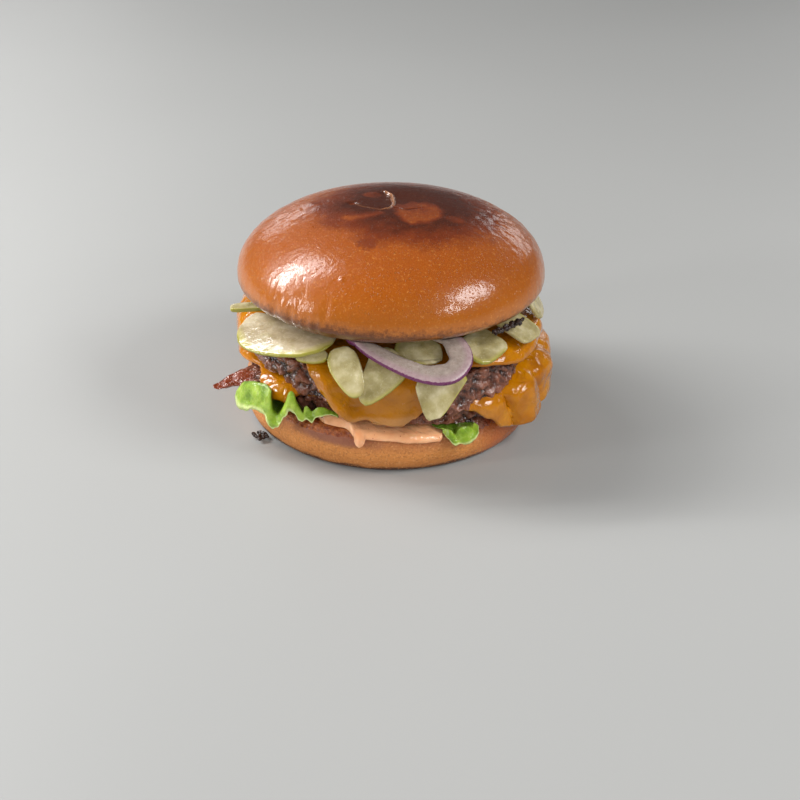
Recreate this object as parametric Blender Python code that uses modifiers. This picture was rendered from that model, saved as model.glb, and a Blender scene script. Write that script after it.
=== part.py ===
"""A double smash burger as a stack of separate solids, in metres, +Z up.

The origin is the centre of the heel's flat base. An angle round the burger is measured in degrees
from the front (-Y), positive to the right (+X). Every layer is turned or spun as a disc, and its
points are then pushed by rules that follow from the sizes below.
"""

import math

import bmesh
import bpy
from mathutils import Vector, noise

MM = 0.001
GAP = 0.35  # clear space between neighbouring layers, in mm

# Heights of the stack at its centre, in mm
HEEL_TOP = 15.5
SAUCE_THICK = 1.6
LEAF_THICK = 0.8
LOWER_PATTY = (20.6, 29.0)
LOWER_CHEESE_THICK = 1.8
UPPER_PATTY = (31.8, 40.6)
UPPER_CHEESE_THICK = 2.1

# Buns
HEEL_BASE_RADIUS = 50.3
HEEL_RADIUS = 53.0
CROWN_RADIUS = 54.8
CROWN_WAIST = 53.0  # height of the crown's widest line
CROWN_RISE = 25.0
CROWN_DROP = 11.5
CROWN_CUT_Z = 46.6
CROWN_TILT = 2.0  # degrees, front edge up
DIMPLE_RADIUS = 8.0
DIMPLE_DEPTH = 1.3

# The stack sags towards its rim: (angle, sag in mm at the rim), read round the burger
SAG_START, SAG_END = 24.0, 52.0
SAG_LEAF, SAG_LOWER_TOP, SAG_UPPER_FLOOR, SAG_UPPER_TOP = 0.16, 1.0, 1.0, 0.72
SAG_RING = [(-180, 3.0), (-120, 2.4), (-85, 3.0), (-62, 5.4), (-42, 5.8), (-20, 5.6), (0, 7.0), (18, 7.6),
            (38, 6.6), (62, 3.6), (95, 2.2), (140, 3.2)]

# The heel is pressed down on its right: (angle, dip in mm at the rim)
DIP_RING = [(-180, 0.4), (-60, 0.6), (-22, 0.0), (0, 0.7), (22, 2.4), (42, 3.4), (75, 3.0), (120, 1.4)]

# Patties: rim radius round the burger, as (angle, radius)
UPPER_RIM = [(-180, 51.0), (-130, 52.5), (-90, 52.0), (-55, 52.5), (-25, 50.5), (0, 50.0), (25, 51.5),
             (55, 52.5), (90, 51.0), (135, 52.5)]
LOWER_RIM = [(-180, 50.5), (-140, 50.5), (-95, 52.0), (-45, 50.5), (-15, 48.5), (10, 49.0), (35, 51.0),
             (60, 52.0), (100, 52.5), (145, 50.5)]
# A lace of crisp crust that sticks out on the left
CRISP = {"angle": -64.3, "spread": 4.6, "reach": 17.5, "lift": 1.5, "droop": 1.6}
RIM_ROUND = 4.2
CRAG_SIZE = 7.0
CRAG_DEPTH = 1.5

# Cheese: height of the hanging edge round the burger, as (angle, height)
CHEESE_CLEAR = 0.6
UPPER_HEM = [(-180, 21.0), (-166, 24.0), (-152, 32.0), (-120, 31.5), (-90, 30.8), (-72, 30.2), (-62, 34.0),
             (-54, 37.2), (-42, 38.4), (-35, 37.4), (-28, 33.2), (-23, 28.6), (-18, 24.2), (-12, 21.0),
             (-3, 19.4), (5, 18.6), (10, 20.9), (14, 24.8), (19, 29.5), (24, 34.8), (30, 37.4), (41, 36.2),
             (56, 33.2), (69, 33.4), (95, 31.8), (120, 31.0), (150, 32.0), (168, 23.0)]
LOWER_HEM = [(-180, 25.8), (-158, 25.0), (-140, 20.0), (-120, 12.5), (-104, 18.0), (-88, 20.0), (-76, 23.5),
             (-67, 24.6), (-60, 24.2), (-54, 20.8), (-47, 19.6), (-42, 20.2), (-36, 24.4), (-27, 25.4),
             (-19, 25.2), (-8, 24.6), (2, 23.9), (14, 23.0), (26, 22.7), (33, 21.4), (39, 17.0), (45, 11.2),
             (52, 8.6), (63, 8.8), (74, 11.5), (88, 16.5), (100, 19.5), (112, 14.0), (124, 12.5), (138, 20.0),
             (156, 25.2)]
BELLY = [(-180, 0.5), (-100, 1.5), (-74, 1.8), (-58, 2.8), (-44, 2.6), (-32, 1.0), (0, 0.3), (25, 0.5),
         (42, 2.2), (62, 5.2), (82, 4.6), (110, 2.4)]

SLICE_THICK = 1.8
# Pickle slices: angle, radius and height of the middle, pitch down and outwards, turn in the slice's own
# plane, size along the rim and across it, curl, squareness of the outline, share cut off inside, and how
# much narrower (taper) and further to the right (skew) it gets outwards
PICKLES = {
    "pickle_left": {"at": (-46, 48.8, 44.8), "pitch": 13, "turn": 22, "size": (37, 25), "curl": 14,
                    "square": 2.4, "cut": 0.2},
    "pickle_left_under": {"at": (-30.5, 51.4, 41.2), "pitch": 38, "turn": 14, "size": (12, 5.4),
                          "square": 2.6},
    "pickle_strip": {"at": (-72.5, 51.2, 44.7), "pitch": 3, "turn": 76, "size": (15.5, 5.0), "square": 3.5},
    "pickle_front_left": {"at": (-15.0, 53.4, 39.4), "pitch": 50, "turn": 34, "size": (11.5, 19), "curl": 24,
                          "square": 2.5, "taper": 0.4},
    "pickle_front_under": {"at": (-3.0, 52.0, 37.7), "pitch": 48, "turn": -30, "size": (16, 22), "curl": 26,
                           "square": 2.6, "taper": 0.72},
    "pickle_middle": {"at": (13.5, 42.8, 41.9), "pitch": 27, "turn": -12, "size": (16.5, 12), "square": 2.6},
    "pickle_hanging": {"at": (19.2, 56.0, 31.4), "pitch": 66, "turn": 0, "size": (18.5, 15), "curl": 12,
                       "square": 5.0, "taper": 0.86, "skew": -0.28},
    "pickle_right": {"at": (40, 49.6, 43.0), "pitch": 17, "turn": 14, "size": (16.5, 14), "curl": 12,
                     "square": 4.0},
    "pickle_far_right": {"at": (61, 50.6, 43.9), "pitch": 20, "turn": -6, "size": (13, 16), "curl": 14,
                         "square": 4.0},
    "pickle_right_back": {"at": (80, 52.4, 44.6), "pitch": 58, "turn": 6, "size": (12, 10), "square": 2.6},
    "pickle_back_left": {"at": (-142, 46.8, 42.6), "pitch": 12, "turn": -12, "size": (34, 18), "curl": 14,
                         "square": 2.2, "cut": 0.2},
    "pickle_back": {"at": (160, 47.0, 42.2), "pitch": 14, "turn": 8, "size": (24, 16), "curl": 14,
                    "square": 2.8},
    "pickle_back_right": {"at": (120, 48.2, 42.6), "pitch": 14, "turn": -10, "size": (22, 16), "curl": 14,
                          "square": 2.4},
}

ONION = {"at": (8.7, 43.9, 46.9), "pitch": 24, "turn": -38, "long": 23.0, "short": 13.6, "band": 6.1,
         "lopsided": 1.9, "thick": 2.6, "square": 2.4}

# Lettuce: reach of the leaf, and the frills at its edge as (angle, half width, reach, height)
LEAF_REACH = 46.0
LEAF_BASE_Z = 17.85
FRILLS = [(-58, 11, 14.5, 6.6), (-38, 13, 11.0, 6.8), (27, 8, 10.0, 2.6), (176, 22, 10.5, 3.4),
          (-152, 14, 8.5, 3.0)]
FRILL_WAVE = 19.0  # mm from crest to crest at the edge

# Sauce: reach of the pool on the heel, and where it bulges towards the rim
SAUCE_REACH = 44.5
SAUCE_POOLS = [(-24, 12, 6.0), (8, 17, 6.8), (-75, 16, 3.0), (90, 20, 4.0), (170, 24, 4.5), (-130, 16, 4.0)]

SEGMENTS = 56  # steps round the burger, the same in every layer of the stack


def ease(x, low, high):
    """0 below low, 1 above high, and a smooth step between."""
    t = min(1.0, max(0.0, (x - low) / (high - low)))
    return t * t * (3 - 2 * t)


def round_ring(ring, angle):
    """The smooth value at this angle of a list of (angle, value) that goes once round."""
    spots = sorted(ring)
    spots = spots + [(spots[0][0] + 360, spots[0][1])]
    angle = (angle - spots[0][0]) % 360 + spots[0][0]
    for (a, first), (b, second) in zip(spots, spots[1:]):
        if a <= angle <= b:
            return first + (second - first) * ease(angle, a, b)
    return spots[0][1]


def bump_at(angle, centre, half_width):
    """A smooth bump of height 1 round this angle."""
    away = (angle - centre + 180) % 360 - 180
    return math.exp(-((away / half_width) ** 2))


def sag(angle, radius):
    """How far an interface has sunk here, for a full share of 1."""
    return round_ring(SAG_RING, angle) * max(0.0, (radius - SAG_START) / (SAG_END - SAG_START))


def dip(angle, radius):
    """How far the heel's sliced face is pressed down here."""
    return round_ring(DIP_RING, angle) * min(1.0, max(0.0, (radius - SAG_START) / (SAG_END - SAG_START)))


def outward(angle):
    return Vector((math.sin(math.radians(angle)), -math.cos(math.radians(angle)), 0))


def angle_of(point):
    return math.degrees(math.atan2(point.x, -point.y))


def rough(point, size, seed):
    """Smooth noise from -1 to 1 with features of this size, in mm."""
    return noise.noise(point / size + Vector((seed * 7.3, seed * 3.1, seed * 1.7)))


def clear_scene():
    for old in list(bpy.data.objects):
        bpy.data.objects.remove(old)


def material(name, colour, roughness):
    made = bpy.data.materials.new(name)
    made.use_nodes = True
    shader = made.node_tree.nodes["Principled BSDF"]
    shader.inputs["Base Color"].default_value = (*colour, 1)
    shader.inputs["Roughness"].default_value = roughness
    return made


def spun(name, profile, segments, finish, collection):
    """A profile of (radius, height) in mm spun once round Z, with its ends on the axis merged."""
    mesh = bmesh.new()
    chain = [mesh.verts.new((radius, 0, height)) for radius, height in profile]
    edges = [mesh.edges.new(pair) for pair in zip(chain, chain[1:])]
    bmesh.ops.spin(mesh, geom=chain + edges, cent=(0, 0, 0), axis=(0, 0, 1), angle=math.tau, steps=segments,
                   use_merge=True)
    bmesh.ops.remove_doubles(mesh, verts=mesh.verts, dist=1e-4)
    bmesh.ops.recalc_face_normals(mesh, faces=mesh.faces)
    data = bpy.data.meshes.new(name)
    mesh.to_mesh(data)
    mesh.free()
    made = bpy.data.objects.new(name, data)
    data.materials.append(finish)
    collection.objects.link(made)
    return made


def push(made, rule):
    """Moves every point by a rule that takes and gives millimetres, and leaves the mesh in metres."""
    for vertex in made.data.vertices:
        vertex.co = rule(vertex.co.copy()) * MM
    made.data.update()


def face_up(made):
    """Turns an open sheet so that its middle faces up, and splits it so that both its sides will match."""
    mesh = bmesh.new()
    mesh.from_mesh(made.data)
    bmesh.ops.triangulate(mesh, faces=mesh.faces, quad_method="SHORT_EDGE")
    middle = min(mesh.faces, key=lambda face: face.calc_center_median().xy.length)
    if middle.normal.z < 0:
        bmesh.ops.reverse_faces(mesh, faces=mesh.faces)
    mesh.to_mesh(made.data)
    mesh.free()


def thicken(made, thick):
    """Gives an open sheet its thickness outwards, thinner at its edge."""
    solid = made.modifiers.new("thickness", "SOLIDIFY")
    solid.thickness = thick * MM
    solid.offset = 1
    solid.use_rim = True


def smooth(made, sharp_degrees=40):
    made.data.shade_smooth()
    made.data.set_sharp_from_angle(angle=math.radians(sharp_degrees))


def crown_profile(steps_above=9, steps_below=5):
    """Upper dome, rounded lip and flat cut face, from the top centre down to the middle of the cut."""
    rows = []
    for i in range(steps_above):
        t = math.pi / 2 * (1 - i / steps_above)
        rows.append((CROWN_RADIUS * math.cos(t) ** 0.92, CROWN_WAIST + CROWN_RISE * math.sin(t) ** 0.95))
    cut = math.asin((CROWN_WAIST - CROWN_CUT_Z) / CROWN_DROP)
    lip = [cut * i / steps_below for i in range(steps_below + 1)]
    rows += [(CROWN_RADIUS * math.cos(t), CROWN_WAIST - CROWN_DROP * math.sin(t)) for t in lip]
    edge = rows[-1][0]
    return rows + [(edge * share, CROWN_CUT_Z) for share in (0.93, 0.5, 0)]


def build_crown(finish, collection):
    made = spun("bun_crown", crown_profile(), 44, finish, collection)
    tilt = math.radians(CROWN_TILT)

    def rule(p):
        reach = p.xy.length
        if p.z > CROWN_WAIST:
            # The dome is a little uneven, with a puckered dimple off its middle
            p.z += 0.9 * rough(p, 38, 1) * ease(p.z, CROWN_WAIST, CROWN_WAIST + 12)
            away = (p.xy - Vector((3.0, 5.0))).length
            p.z -= DIMPLE_DEPTH * math.exp(-((away / DIMPLE_RADIUS) ** 2))
        if p.z > CROWN_CUT_Z + 0.01:
            p.xy *= 1 + 0.012 * rough(p, 30, 2)
        lift = -p.y * math.sin(tilt)
        return Vector((p.x, p.y * math.cos(tilt) if reach else p.y, p.z + lift))

    push(made, rule)
    smooth(made)


def build_heel(finish, collection):
    # Its sliced edge is nearly sharp and its side bulges a little on the way down
    side = [(2.6, 0), (1.2, 0.6), (0.4, 2.0), (0, 4.8), (0, 8.4), (0.4, 11.6), (1.3, 14.4)]
    rows = [(0, HEEL_TOP), (24, HEEL_TOP)]
    rows += [(HEEL_RADIUS - inset, HEEL_TOP - down) for inset, down in side]
    rows += [(HEEL_BASE_RADIUS, 0), (24, 0), (0, 0)]
    made = spun("bun_heel", rows, 44, finish, collection)

    def rule(p):
        level = p.z / HEEL_TOP
        if 0.01 < level < 0.99:
            p.xy *= 1 + 0.010 * rough(p, 26, 3)
        p.z -= level * dip(angle_of(p), p.xy.length)
        return p

    push(made, rule)
    smooth(made)


def patty_rows(floor, top, rim, rim_steps=6):
    """(radius, level) of a patty's rows for this rim, level 1 on top: flat faces and a round rim."""
    rows = [(radius, 1) for radius in (0, SAG_START, 36, rim - RIM_ROUND)]
    for i in range(1, rim_steps):
        turn = math.pi * i / rim_steps
        rows.append((rim - RIM_ROUND * (1 - math.sin(turn)), 0.5 + 0.5 * math.cos(turn)))
    return rows + [(radius, 0) for radius in (rim - RIM_ROUND, 36, SAG_START, 0)]


def build_patty(name, levels, rim, sags, crisp, seed, finish, collection):
    """A smashed patty. Its relief only cuts in, so that the cheese clears it."""
    floor, top = levels
    count = len(patty_rows(floor, top, 50))
    flat = [(0, count)] + [(1, count - i) for i in range(1, count - 1)] + [(0, 1)]
    made = spun(name, flat, SEGMENTS, finish, collection)

    def rule(p):
        angle, row = angle_of(p), count - round(p.z)
        edge = round_ring(rim, angle)
        reach, level = patty_rows(floor, top, edge)[row]
        way = outward(angle)
        crag = 0.5 + 1.4 * rough(way * reach + Vector((0, 0, level * 9)), CRAG_SIZE, seed)
        crag = max(0.0, crag) * CRAG_DEPTH
        side = ease(reach, edge - RIM_ROUND, edge - 0.5)
        low = floor - sags[0] * sag(angle, reach) - (dip(angle, reach) if crisp else 0)
        high = top - sags[1] * sag(angle, reach)
        height = low + (high - low) * level
        height += crag * 0.4 * ease(reach, 20, 40) * (1 if level < 0.05 else -1 if level > 0.95 else 0)
        reach -= crag * side
        if crisp:
            lace = bump_at(angle, crisp["angle"], crisp["spread"]) * side
            reach += crisp["reach"] * ease(lace, 0.12, 1)
            thin = low + crisp["lift"] + level * 1.9 - crisp["droop"] * lace
            height += ease(lace, 0, 0.2) * (thin - height)
        return way * reach + Vector((0, 0, height))

    push(made, rule)


def rim_top(angle, layer):
    """Height of the patty's top face at its rim."""
    return layer["top"] - layer["share"] * sag(angle, round_ring(layer["rim"], angle) - RIM_ROUND)


def drape_point(angle, along, layer):
    """Radius and height of a sheet's underside, along mm from the centre: flat, round the rim, then down."""
    corner = RIM_ROUND + CHEESE_CLEAR
    flat = round_ring(layer["rim"], angle) - RIM_ROUND
    if along <= flat:
        return along, layer["top"] - layer["share"] * sag(angle, along) + CHEESE_CLEAR
    edge_z = rim_top(angle, layer) + CHEESE_CLEAR
    turn = (along - flat) / corner
    if turn < math.pi / 2:
        return flat + corner * math.sin(turn), edge_z - corner * (1 - math.cos(turn))
    return flat + corner, edge_z - corner - (along - flat - corner * math.pi / 2)


def drape_length(angle, layer):
    """How long a sheet is from the centre so that its edge hangs at the height of the hem."""
    corner = RIM_ROUND + CHEESE_CLEAR
    flat = round_ring(layer["rim"], angle) - RIM_ROUND
    drop = rim_top(angle, layer) + CHEESE_CLEAR - round_ring(layer["hem"], angle)
    if drop <= 0:
        return flat + max(-8.0, 1.2 * drop)
    if drop < corner:
        return flat + corner * math.acos(1 - drop / corner)
    return flat + corner * math.pi / 2 + drop - corner


def build_cheese(name, layer, finish, collection):
    """A melted slice that follows the patty under it and hangs down its side."""
    shares = [0, 0.16, 0.33, 0.52, 0.74, 1.0]
    rings = [0, 1, 2] + [3 + share for share in shares]
    made = spun(name, [(ring, 0) for ring in rings], SEGMENTS, finish, collection)

    def rule(p):
        stage, angle = p.xy.length, angle_of(p)
        flat = round_ring(layer["rim"], angle) - RIM_ROUND
        ragged = layer["ragged"] * rough(outward(angle) * 50, 11, layer["seed"])
        length = drape_length(angle, layer) + ragged
        start = min(flat, length) - 3.0
        along = start + (stage - 3) * (length - start)
        if stage < 2.5:
            along = [0, SAG_START, 36.0][round(stage)]
        radius, height = drape_point(angle, along, layer)
        hang = ease(radius, flat + 2.0, flat + RIM_ROUND + CHEESE_CLEAR)
        radius += hang * round_ring(layer["belly"], angle)
        if height < HEEL_TOP + 5:
            radius = max(radius, HEEL_RADIUS + 1.1 - 2.5 * ease(height, HEEL_TOP + 1, HEEL_TOP + 5))
        return outward(angle) * radius + Vector((0, 0, height))

    push(made, rule)
    face_up(made)
    thicken(made, layer["thick"])
    smooth(made, 60)


def crown_under(point):
    """Height of the crown's underside above this point."""
    reach = point.xy.length
    cut = CROWN_RADIUS * math.cos(math.asin((CROWN_WAIST - CROWN_CUT_Z) / CROWN_DROP))
    share = min(1.0, max(reach, cut) / CROWN_RADIUS)
    tilt = math.sin(math.radians(CROWN_TILT))
    return CROWN_WAIST - CROWN_DROP * math.sqrt(1 - share ** 2) - point.y * tilt


def fit_between(point, half):
    """Moves a point of a slice's middle out of the cheese below and the crown above."""
    angle, reach = angle_of(point), point.xy.length
    centre = round_ring(UPPER_LAYER["rim"], angle) - RIM_ROUND
    shell = CHEESE_CLEAR + UPPER_LAYER["thick"] + GAP + half
    if reach < centre:
        surface = UPPER_LAYER["top"] - UPPER_LAYER["share"] * sag(angle, reach)
        point.z = max(point.z, surface + shell)
    else:
        core = rim_top(angle, UPPER_LAYER) - RIM_ROUND
        height = point.z
        away = Vector((reach - centre, max(0.0, height - core)))
        least = RIM_ROUND + shell + 0.3
        if away.length < least:
            away = away.normalized() * least
            if height > core:
                height = max(height, core + away.y)
            point = outward(angle) * (centre + away.x) + Vector((0, 0, height))
    point.z = min(point.z, crown_under(point) - GAP - half - 0.15)
    return point


def outline(turn, spec):
    """A point of a slice's edge: a superellipse, cut straight inside, narrower and shifted outside."""
    length, width = spec["size"]
    c, s = math.cos(turn), math.sin(turn)
    power = 2 / spec["square"]
    x = length / 2 * math.copysign(abs(c) ** power, c)
    y = width / 2 * math.copysign(abs(s) ** power, s)
    low = max(0.0, 0.3 - y / width)
    x = x * (1 - spec.get("taper", 0) * low) + spec.get("skew", 0) * low * length
    return x, min(y, width * (0.5 - spec.get("cut", 0)))


def placed(spec, x, y, lift, half):
    """A point of a flat slice, curled across the rim, pitched outwards and fitted into the stack."""
    angle, radius, height = spec["at"]
    turn = math.radians(spec["turn"])
    x, y = x * math.cos(turn) - y * math.sin(turn), x * math.sin(turn) + y * math.cos(turn)
    bend = math.radians(spec.get("curl", 0)) / 20
    drop = (1 - math.cos(bend * y)) / bend if bend else 0
    y = math.sin(bend * y) / bend if bend else y
    pitch = math.radians(spec["pitch"])
    out = outward(angle)
    along = Vector((-out.y, out.x, 0))
    up_slope = Vector((0, 0, math.sin(pitch))) - out * math.cos(pitch)
    normal = out * math.sin(pitch) + Vector((0, 0, math.cos(pitch)))
    middle = out * radius + Vector((0, 0, height)) + along * x + up_slope * y - normal * drop
    return fit_between(middle, half) + normal * lift


def build_slice(name, spec, finish, collection):
    """A pickle slice with softly rounded edges."""
    half = SLICE_THICK / 2
    above = [(0, half), (0.5, half), (0.92, half * 0.85)]
    rows = above + [(1, 0)] + [(share, -lift) for share, lift in reversed(above)]
    made = spun(name, rows, 16, finish, collection)

    def rule(p):
        share = p.xy.length
        x, y = outline(math.atan2(p.y, p.x), spec)
        return placed(spec, x * share, y * share, p.z, half)

    push(made, rule)
    smooth(made, 50)


def build_onion(finish, collection):
    """One oval ring of red onion, wider at its outer end."""
    thick = ONION["thick"]
    round_edge = [(0.0, 0.32), (0.0, -0.32), (0.22, -0.5), (0.78, -0.5), (1.0, -0.25), (1.0, 0.25),
                  (0.78, 0.5), (0.22, 0.5)]
    made = spun("onion_ring", [(1 + k, 0) for k in range(len(round_edge))], 36, finish, collection)
    mesh = bmesh.new()
    mesh.from_mesh(made.data)
    rims = [edge for edge in mesh.edges if edge.is_boundary]
    bmesh.ops.bridge_loops(mesh, edges=rims)
    mesh.to_mesh(made.data)
    mesh.free()
    power = 2 / ONION["square"]

    def rule(p):
        share, level = round_edge[round(p.xy.length) - 1]
        turn = math.atan2(p.y, p.x)
        c, s = math.cos(turn), math.sin(turn)
        inset = (ONION["band"] + ONION["lopsided"] * c) * share
        x = (ONION["long"] - inset) * math.copysign(abs(c) ** power, c)
        y = (ONION["short"] - inset) * math.copysign(abs(s) ** power, s)
        return placed(ONION, x, y, thick * level, thick / 2)

    push(made, rule)
    mesh = bmesh.new()
    mesh.from_mesh(made.data)
    bmesh.ops.recalc_face_normals(mesh, faces=mesh.faces)
    mesh.to_mesh(made.data)
    mesh.free()
    smooth(made, 60)


def build_lettuce(finish, collection):
    """One leaf that lies between the sauce and the lower patty, frilled where it comes out."""
    made = spun("lettuce_leaf", [(ring, 0) for ring in range(6)], 84, finish, collection)

    def rule(p):
        ring, angle = round(p.xy.length), angle_of(p)
        reach = LEAF_REACH + 1.5 * rough(outward(angle) * 50, 12, 8)
        frill = 0.0
        for centre, half, extra, height in FRILLS:
            reach += extra * bump_at(angle, centre, half)
            frill += height * bump_at(angle, centre, half)
        radius = [0, SAG_START, 43.0, 43.0, 43.0, 43.0][ring]
        if ring > 2:
            radius += max(2.4, reach - 43.0) * [0.42, 0.72, 1.0][ring - 3]
        free = ease(radius, HEEL_RADIUS - 0.5, HEEL_RADIUS + 5.5)
        along = math.radians(angle) * 56
        wave = math.sin(math.tau * along / FRILL_WAVE + 1.2 * math.sin(math.radians(angle * 5)))
        height = LEAF_BASE_Z - dip(angle, radius) + free * frill * (wave - 0.1)
        return outward(angle) * radius + Vector((0, 0, height))

    push(made, rule)
    face_up(made)
    thicken(made, LEAF_THICK)
    smooth(made, 60)


def build_sauce(finish, collection):
    """A pool of pink sauce on the heel, thickest where it shows at the front."""
    rows = [(0, 1), (SAG_START, 1), (38, 1), (49.2, 0.9), (50, 0.5), (49.6, 0.08), (48.6, 0), (38, 0),
            (SAG_START, 0), (0, 0)]
    made = spun("sauce", rows, SEGMENTS, finish, collection)

    def rule(p):
        angle, radius = angle_of(p), p.xy.length
        reach = SAUCE_REACH + 1.2 * rough(outward(angle) * 50, 10, 5)
        for centre, half, extra in SAUCE_POOLS:
            reach += extra * bump_at(angle, centre, half)
        reach = min(HEEL_RADIUS - 2, reach)
        if radius > 38.5:
            radius += reach - 50
        height = HEEL_TOP + GAP + SAUCE_THICK * p.z - dip(angle, radius)
        return outward(angle) * radius + Vector((0, 0, height))

    push(made, rule)
    smooth(made, 50)


UPPER_LAYER = {"top": UPPER_PATTY[1], "share": SAG_UPPER_TOP, "rim": UPPER_RIM, "hem": UPPER_HEM,
               "thick": UPPER_CHEESE_THICK, "belly": [(-180, 0.3), (-90, 0.6), (0, 0.4), (90, 0.8)],
               "ragged": 0.8, "seed": 22}
LOWER_LAYER = {"top": LOWER_PATTY[1], "share": SAG_LOWER_TOP, "rim": LOWER_RIM, "hem": LOWER_HEM,
               "thick": LOWER_CHEESE_THICK, "belly": BELLY, "ragged": 0.8, "seed": 21}


def main():
    clear_scene()
    burger = bpy.data.collections.new("smash_burger")
    bpy.context.scene.collection.children.link(burger)
    glazed = material("glazed_crust", (0.50, 0.19, 0.045), 0.3)
    crust = material("soft_crust", (0.60, 0.27, 0.09), 0.6)
    beef = material("browned_beef", (0.10, 0.035, 0.02), 0.45)
    cheddar = material("melted_cheddar", (0.75, 0.32, 0.03), 0.3)
    pickle = material("pickle", (0.55, 0.56, 0.25), 0.3)
    onion = material("red_onion", (0.62, 0.45, 0.50), 0.3)
    leaf = material("lettuce", (0.22, 0.48, 0.06), 0.4)
    sauce = material("burger_sauce", (0.80, 0.42, 0.28), 0.3)

    build_heel(crust, burger)
    build_sauce(sauce, burger)
    build_lettuce(leaf, burger)
    sags = (SAG_LEAF, SAG_LOWER_TOP)
    build_patty("patty_lower", LOWER_PATTY, LOWER_RIM, sags, CRISP, 11, beef, burger)
    build_cheese("cheese_lower", LOWER_LAYER, cheddar, burger)
    sags = (SAG_UPPER_FLOOR, SAG_UPPER_TOP)
    build_patty("patty_upper", UPPER_PATTY, UPPER_RIM, sags, None, 12, beef, burger)
    build_cheese("cheese_upper", UPPER_LAYER, cheddar, burger)
    for name, spec in PICKLES.items():
        build_slice(name, spec, pickle, burger)
    build_onion(onion, burger)
    build_crown(glazed, burger)


main()
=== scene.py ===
"""Looks of a double smash burger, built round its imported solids.

Shapes are worked out in millimetres in the row's frame: the origin is the centre of the heel's base, and an
angle round the burger is in degrees from the front (-Y), positive to the right (+X). Every piece but the
charred crumbs starts as a grid primitive that a rule rolls or bends into place, from the sizes of the solids.
"""
import math
from typing import NamedTuple

import bpy
import numpy as np
from mathutils import Matrix, Quaternion, Vector


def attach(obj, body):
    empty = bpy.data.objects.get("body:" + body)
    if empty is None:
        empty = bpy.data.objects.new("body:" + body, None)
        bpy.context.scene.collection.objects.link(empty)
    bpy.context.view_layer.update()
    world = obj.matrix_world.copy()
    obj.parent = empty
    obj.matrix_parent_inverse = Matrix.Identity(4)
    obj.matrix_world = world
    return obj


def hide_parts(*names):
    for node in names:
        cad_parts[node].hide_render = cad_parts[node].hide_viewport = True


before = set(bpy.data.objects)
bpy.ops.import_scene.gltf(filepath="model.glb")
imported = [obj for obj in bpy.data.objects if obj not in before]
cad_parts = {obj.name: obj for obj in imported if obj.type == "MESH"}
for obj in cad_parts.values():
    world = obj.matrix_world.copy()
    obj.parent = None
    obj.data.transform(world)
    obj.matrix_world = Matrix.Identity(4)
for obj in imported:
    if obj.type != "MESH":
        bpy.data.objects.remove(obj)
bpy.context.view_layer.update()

FINENESS = 1.0
MM = 0.001

# The stack at its centre, in mm, as in the solids
HEEL_TOP = 15.5
LOWER_PATTY = (20.6, 29.0)
LOWER_CHEESE_THICK = 1.8
UPPER_PATTY = (31.8, 40.6)
UPPER_CHEESE_THICK = 2.1
CHEESE_CLEAR = 0.6
GAP = 0.35
HEEL_BASE_RADIUS = 50.3
HEEL_RADIUS = 53.0
CROWN_RADIUS = 54.8
CROWN_WAIST = 53.0
CROWN_RISE = 25.0
CROWN_DROP = 11.5
CROWN_CUT_Z = 46.6
CROWN_TILT = math.radians(2.0)
SAG_START, SAG_END = 24.0, 52.0
RIM_ROUND = 4.2
SAG_LEAF, SAG_LOWER_TOP, SAG_UPPER_FLOOR, SAG_UPPER_TOP = 0.16, 1.0, 1.0, 0.72
# By angle: how far the layers sag at the rim, and how far the heel dips
SAG_RING = [(-180, 3.0), (-120, 2.4), (-85, 3.0), (-62, 5.4), (-42, 5.8), (-20, 5.6), (0, 7.0), (18, 7.6),
            (38, 6.6), (62, 3.6), (95, 2.2), (140, 3.2)]
DIP_RING = [(-180, 0.4), (-60, 0.6), (-22, 0.0), (0, 0.7), (22, 2.4), (42, 3.4), (75, 3.0), (120, 1.4)]
# By angle: each patty's radius
UPPER_RIM = [(-180, 51.0), (-130, 52.5), (-90, 52.0), (-55, 52.5), (-25, 50.5), (0, 50.0), (25, 51.5),
             (55, 52.5), (90, 51.0), (135, 52.5)]
LOWER_RIM = [(-180, 50.5), (-140, 50.5), (-95, 52.0), (-45, 50.5), (-15, 48.5), (10, 49.0), (35, 51.0),
             (60, 52.0), (100, 52.5), (145, 50.5)]
# The lace of crisp crust that sticks out of the lower patty on the left
CRISP = {"angle": -64.3, "spread": 4.6, "reach": 17.5, "lift": 1.5, "droop": 1.6}
# By angle: the height of each slice's hanging edge, and how far it stands out
UPPER_HEM = [(-180, 21.0), (-166, 24.0), (-152, 32.0), (-120, 31.5), (-90, 30.8), (-72, 30.2), (-62, 34.0),
             (-54, 37.2), (-42, 38.4), (-35, 37.4), (-28, 33.2), (-23, 28.6), (-18, 24.2), (-12, 21.0),
             (-3, 19.4), (5, 18.6), (10, 20.9), (14, 24.8), (19, 29.5), (24, 34.8), (30, 37.4), (41, 36.2),
             (56, 33.2), (69, 33.4), (95, 31.8), (120, 31.0), (150, 32.0), (168, 23.0)]
LOWER_HEM = [(-180, 25.8), (-158, 25.0), (-140, 20.0), (-120, 12.5), (-104, 18.0), (-88, 20.0), (-76, 23.5),
             (-67, 24.6), (-60, 24.2), (-54, 20.8), (-47, 19.6), (-42, 20.2), (-36, 24.4), (-27, 25.4),
             (-19, 25.2), (-8, 24.6), (2, 23.9), (14, 23.0), (26, 22.7), (33, 21.4), (39, 17.0), (45, 11.2),
             (52, 8.6), (63, 8.8), (74, 11.5), (88, 16.5), (100, 19.5), (112, 14.0), (124, 12.5), (138, 20.0),
             (156, 25.2)]
BELLY = [(-180, 0.5), (-100, 1.5), (-74, 1.8), (-58, 2.8), (-44, 2.6), (-32, 1.0), (0, 0.3), (25, 0.5),
         (42, 2.2), (62, 5.2), (82, 4.6), (110, 2.4)]
UPPER_BELLY = [(-180, 0.3), (-90, 0.6), (0, 0.4), (90, 0.8)]
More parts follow.
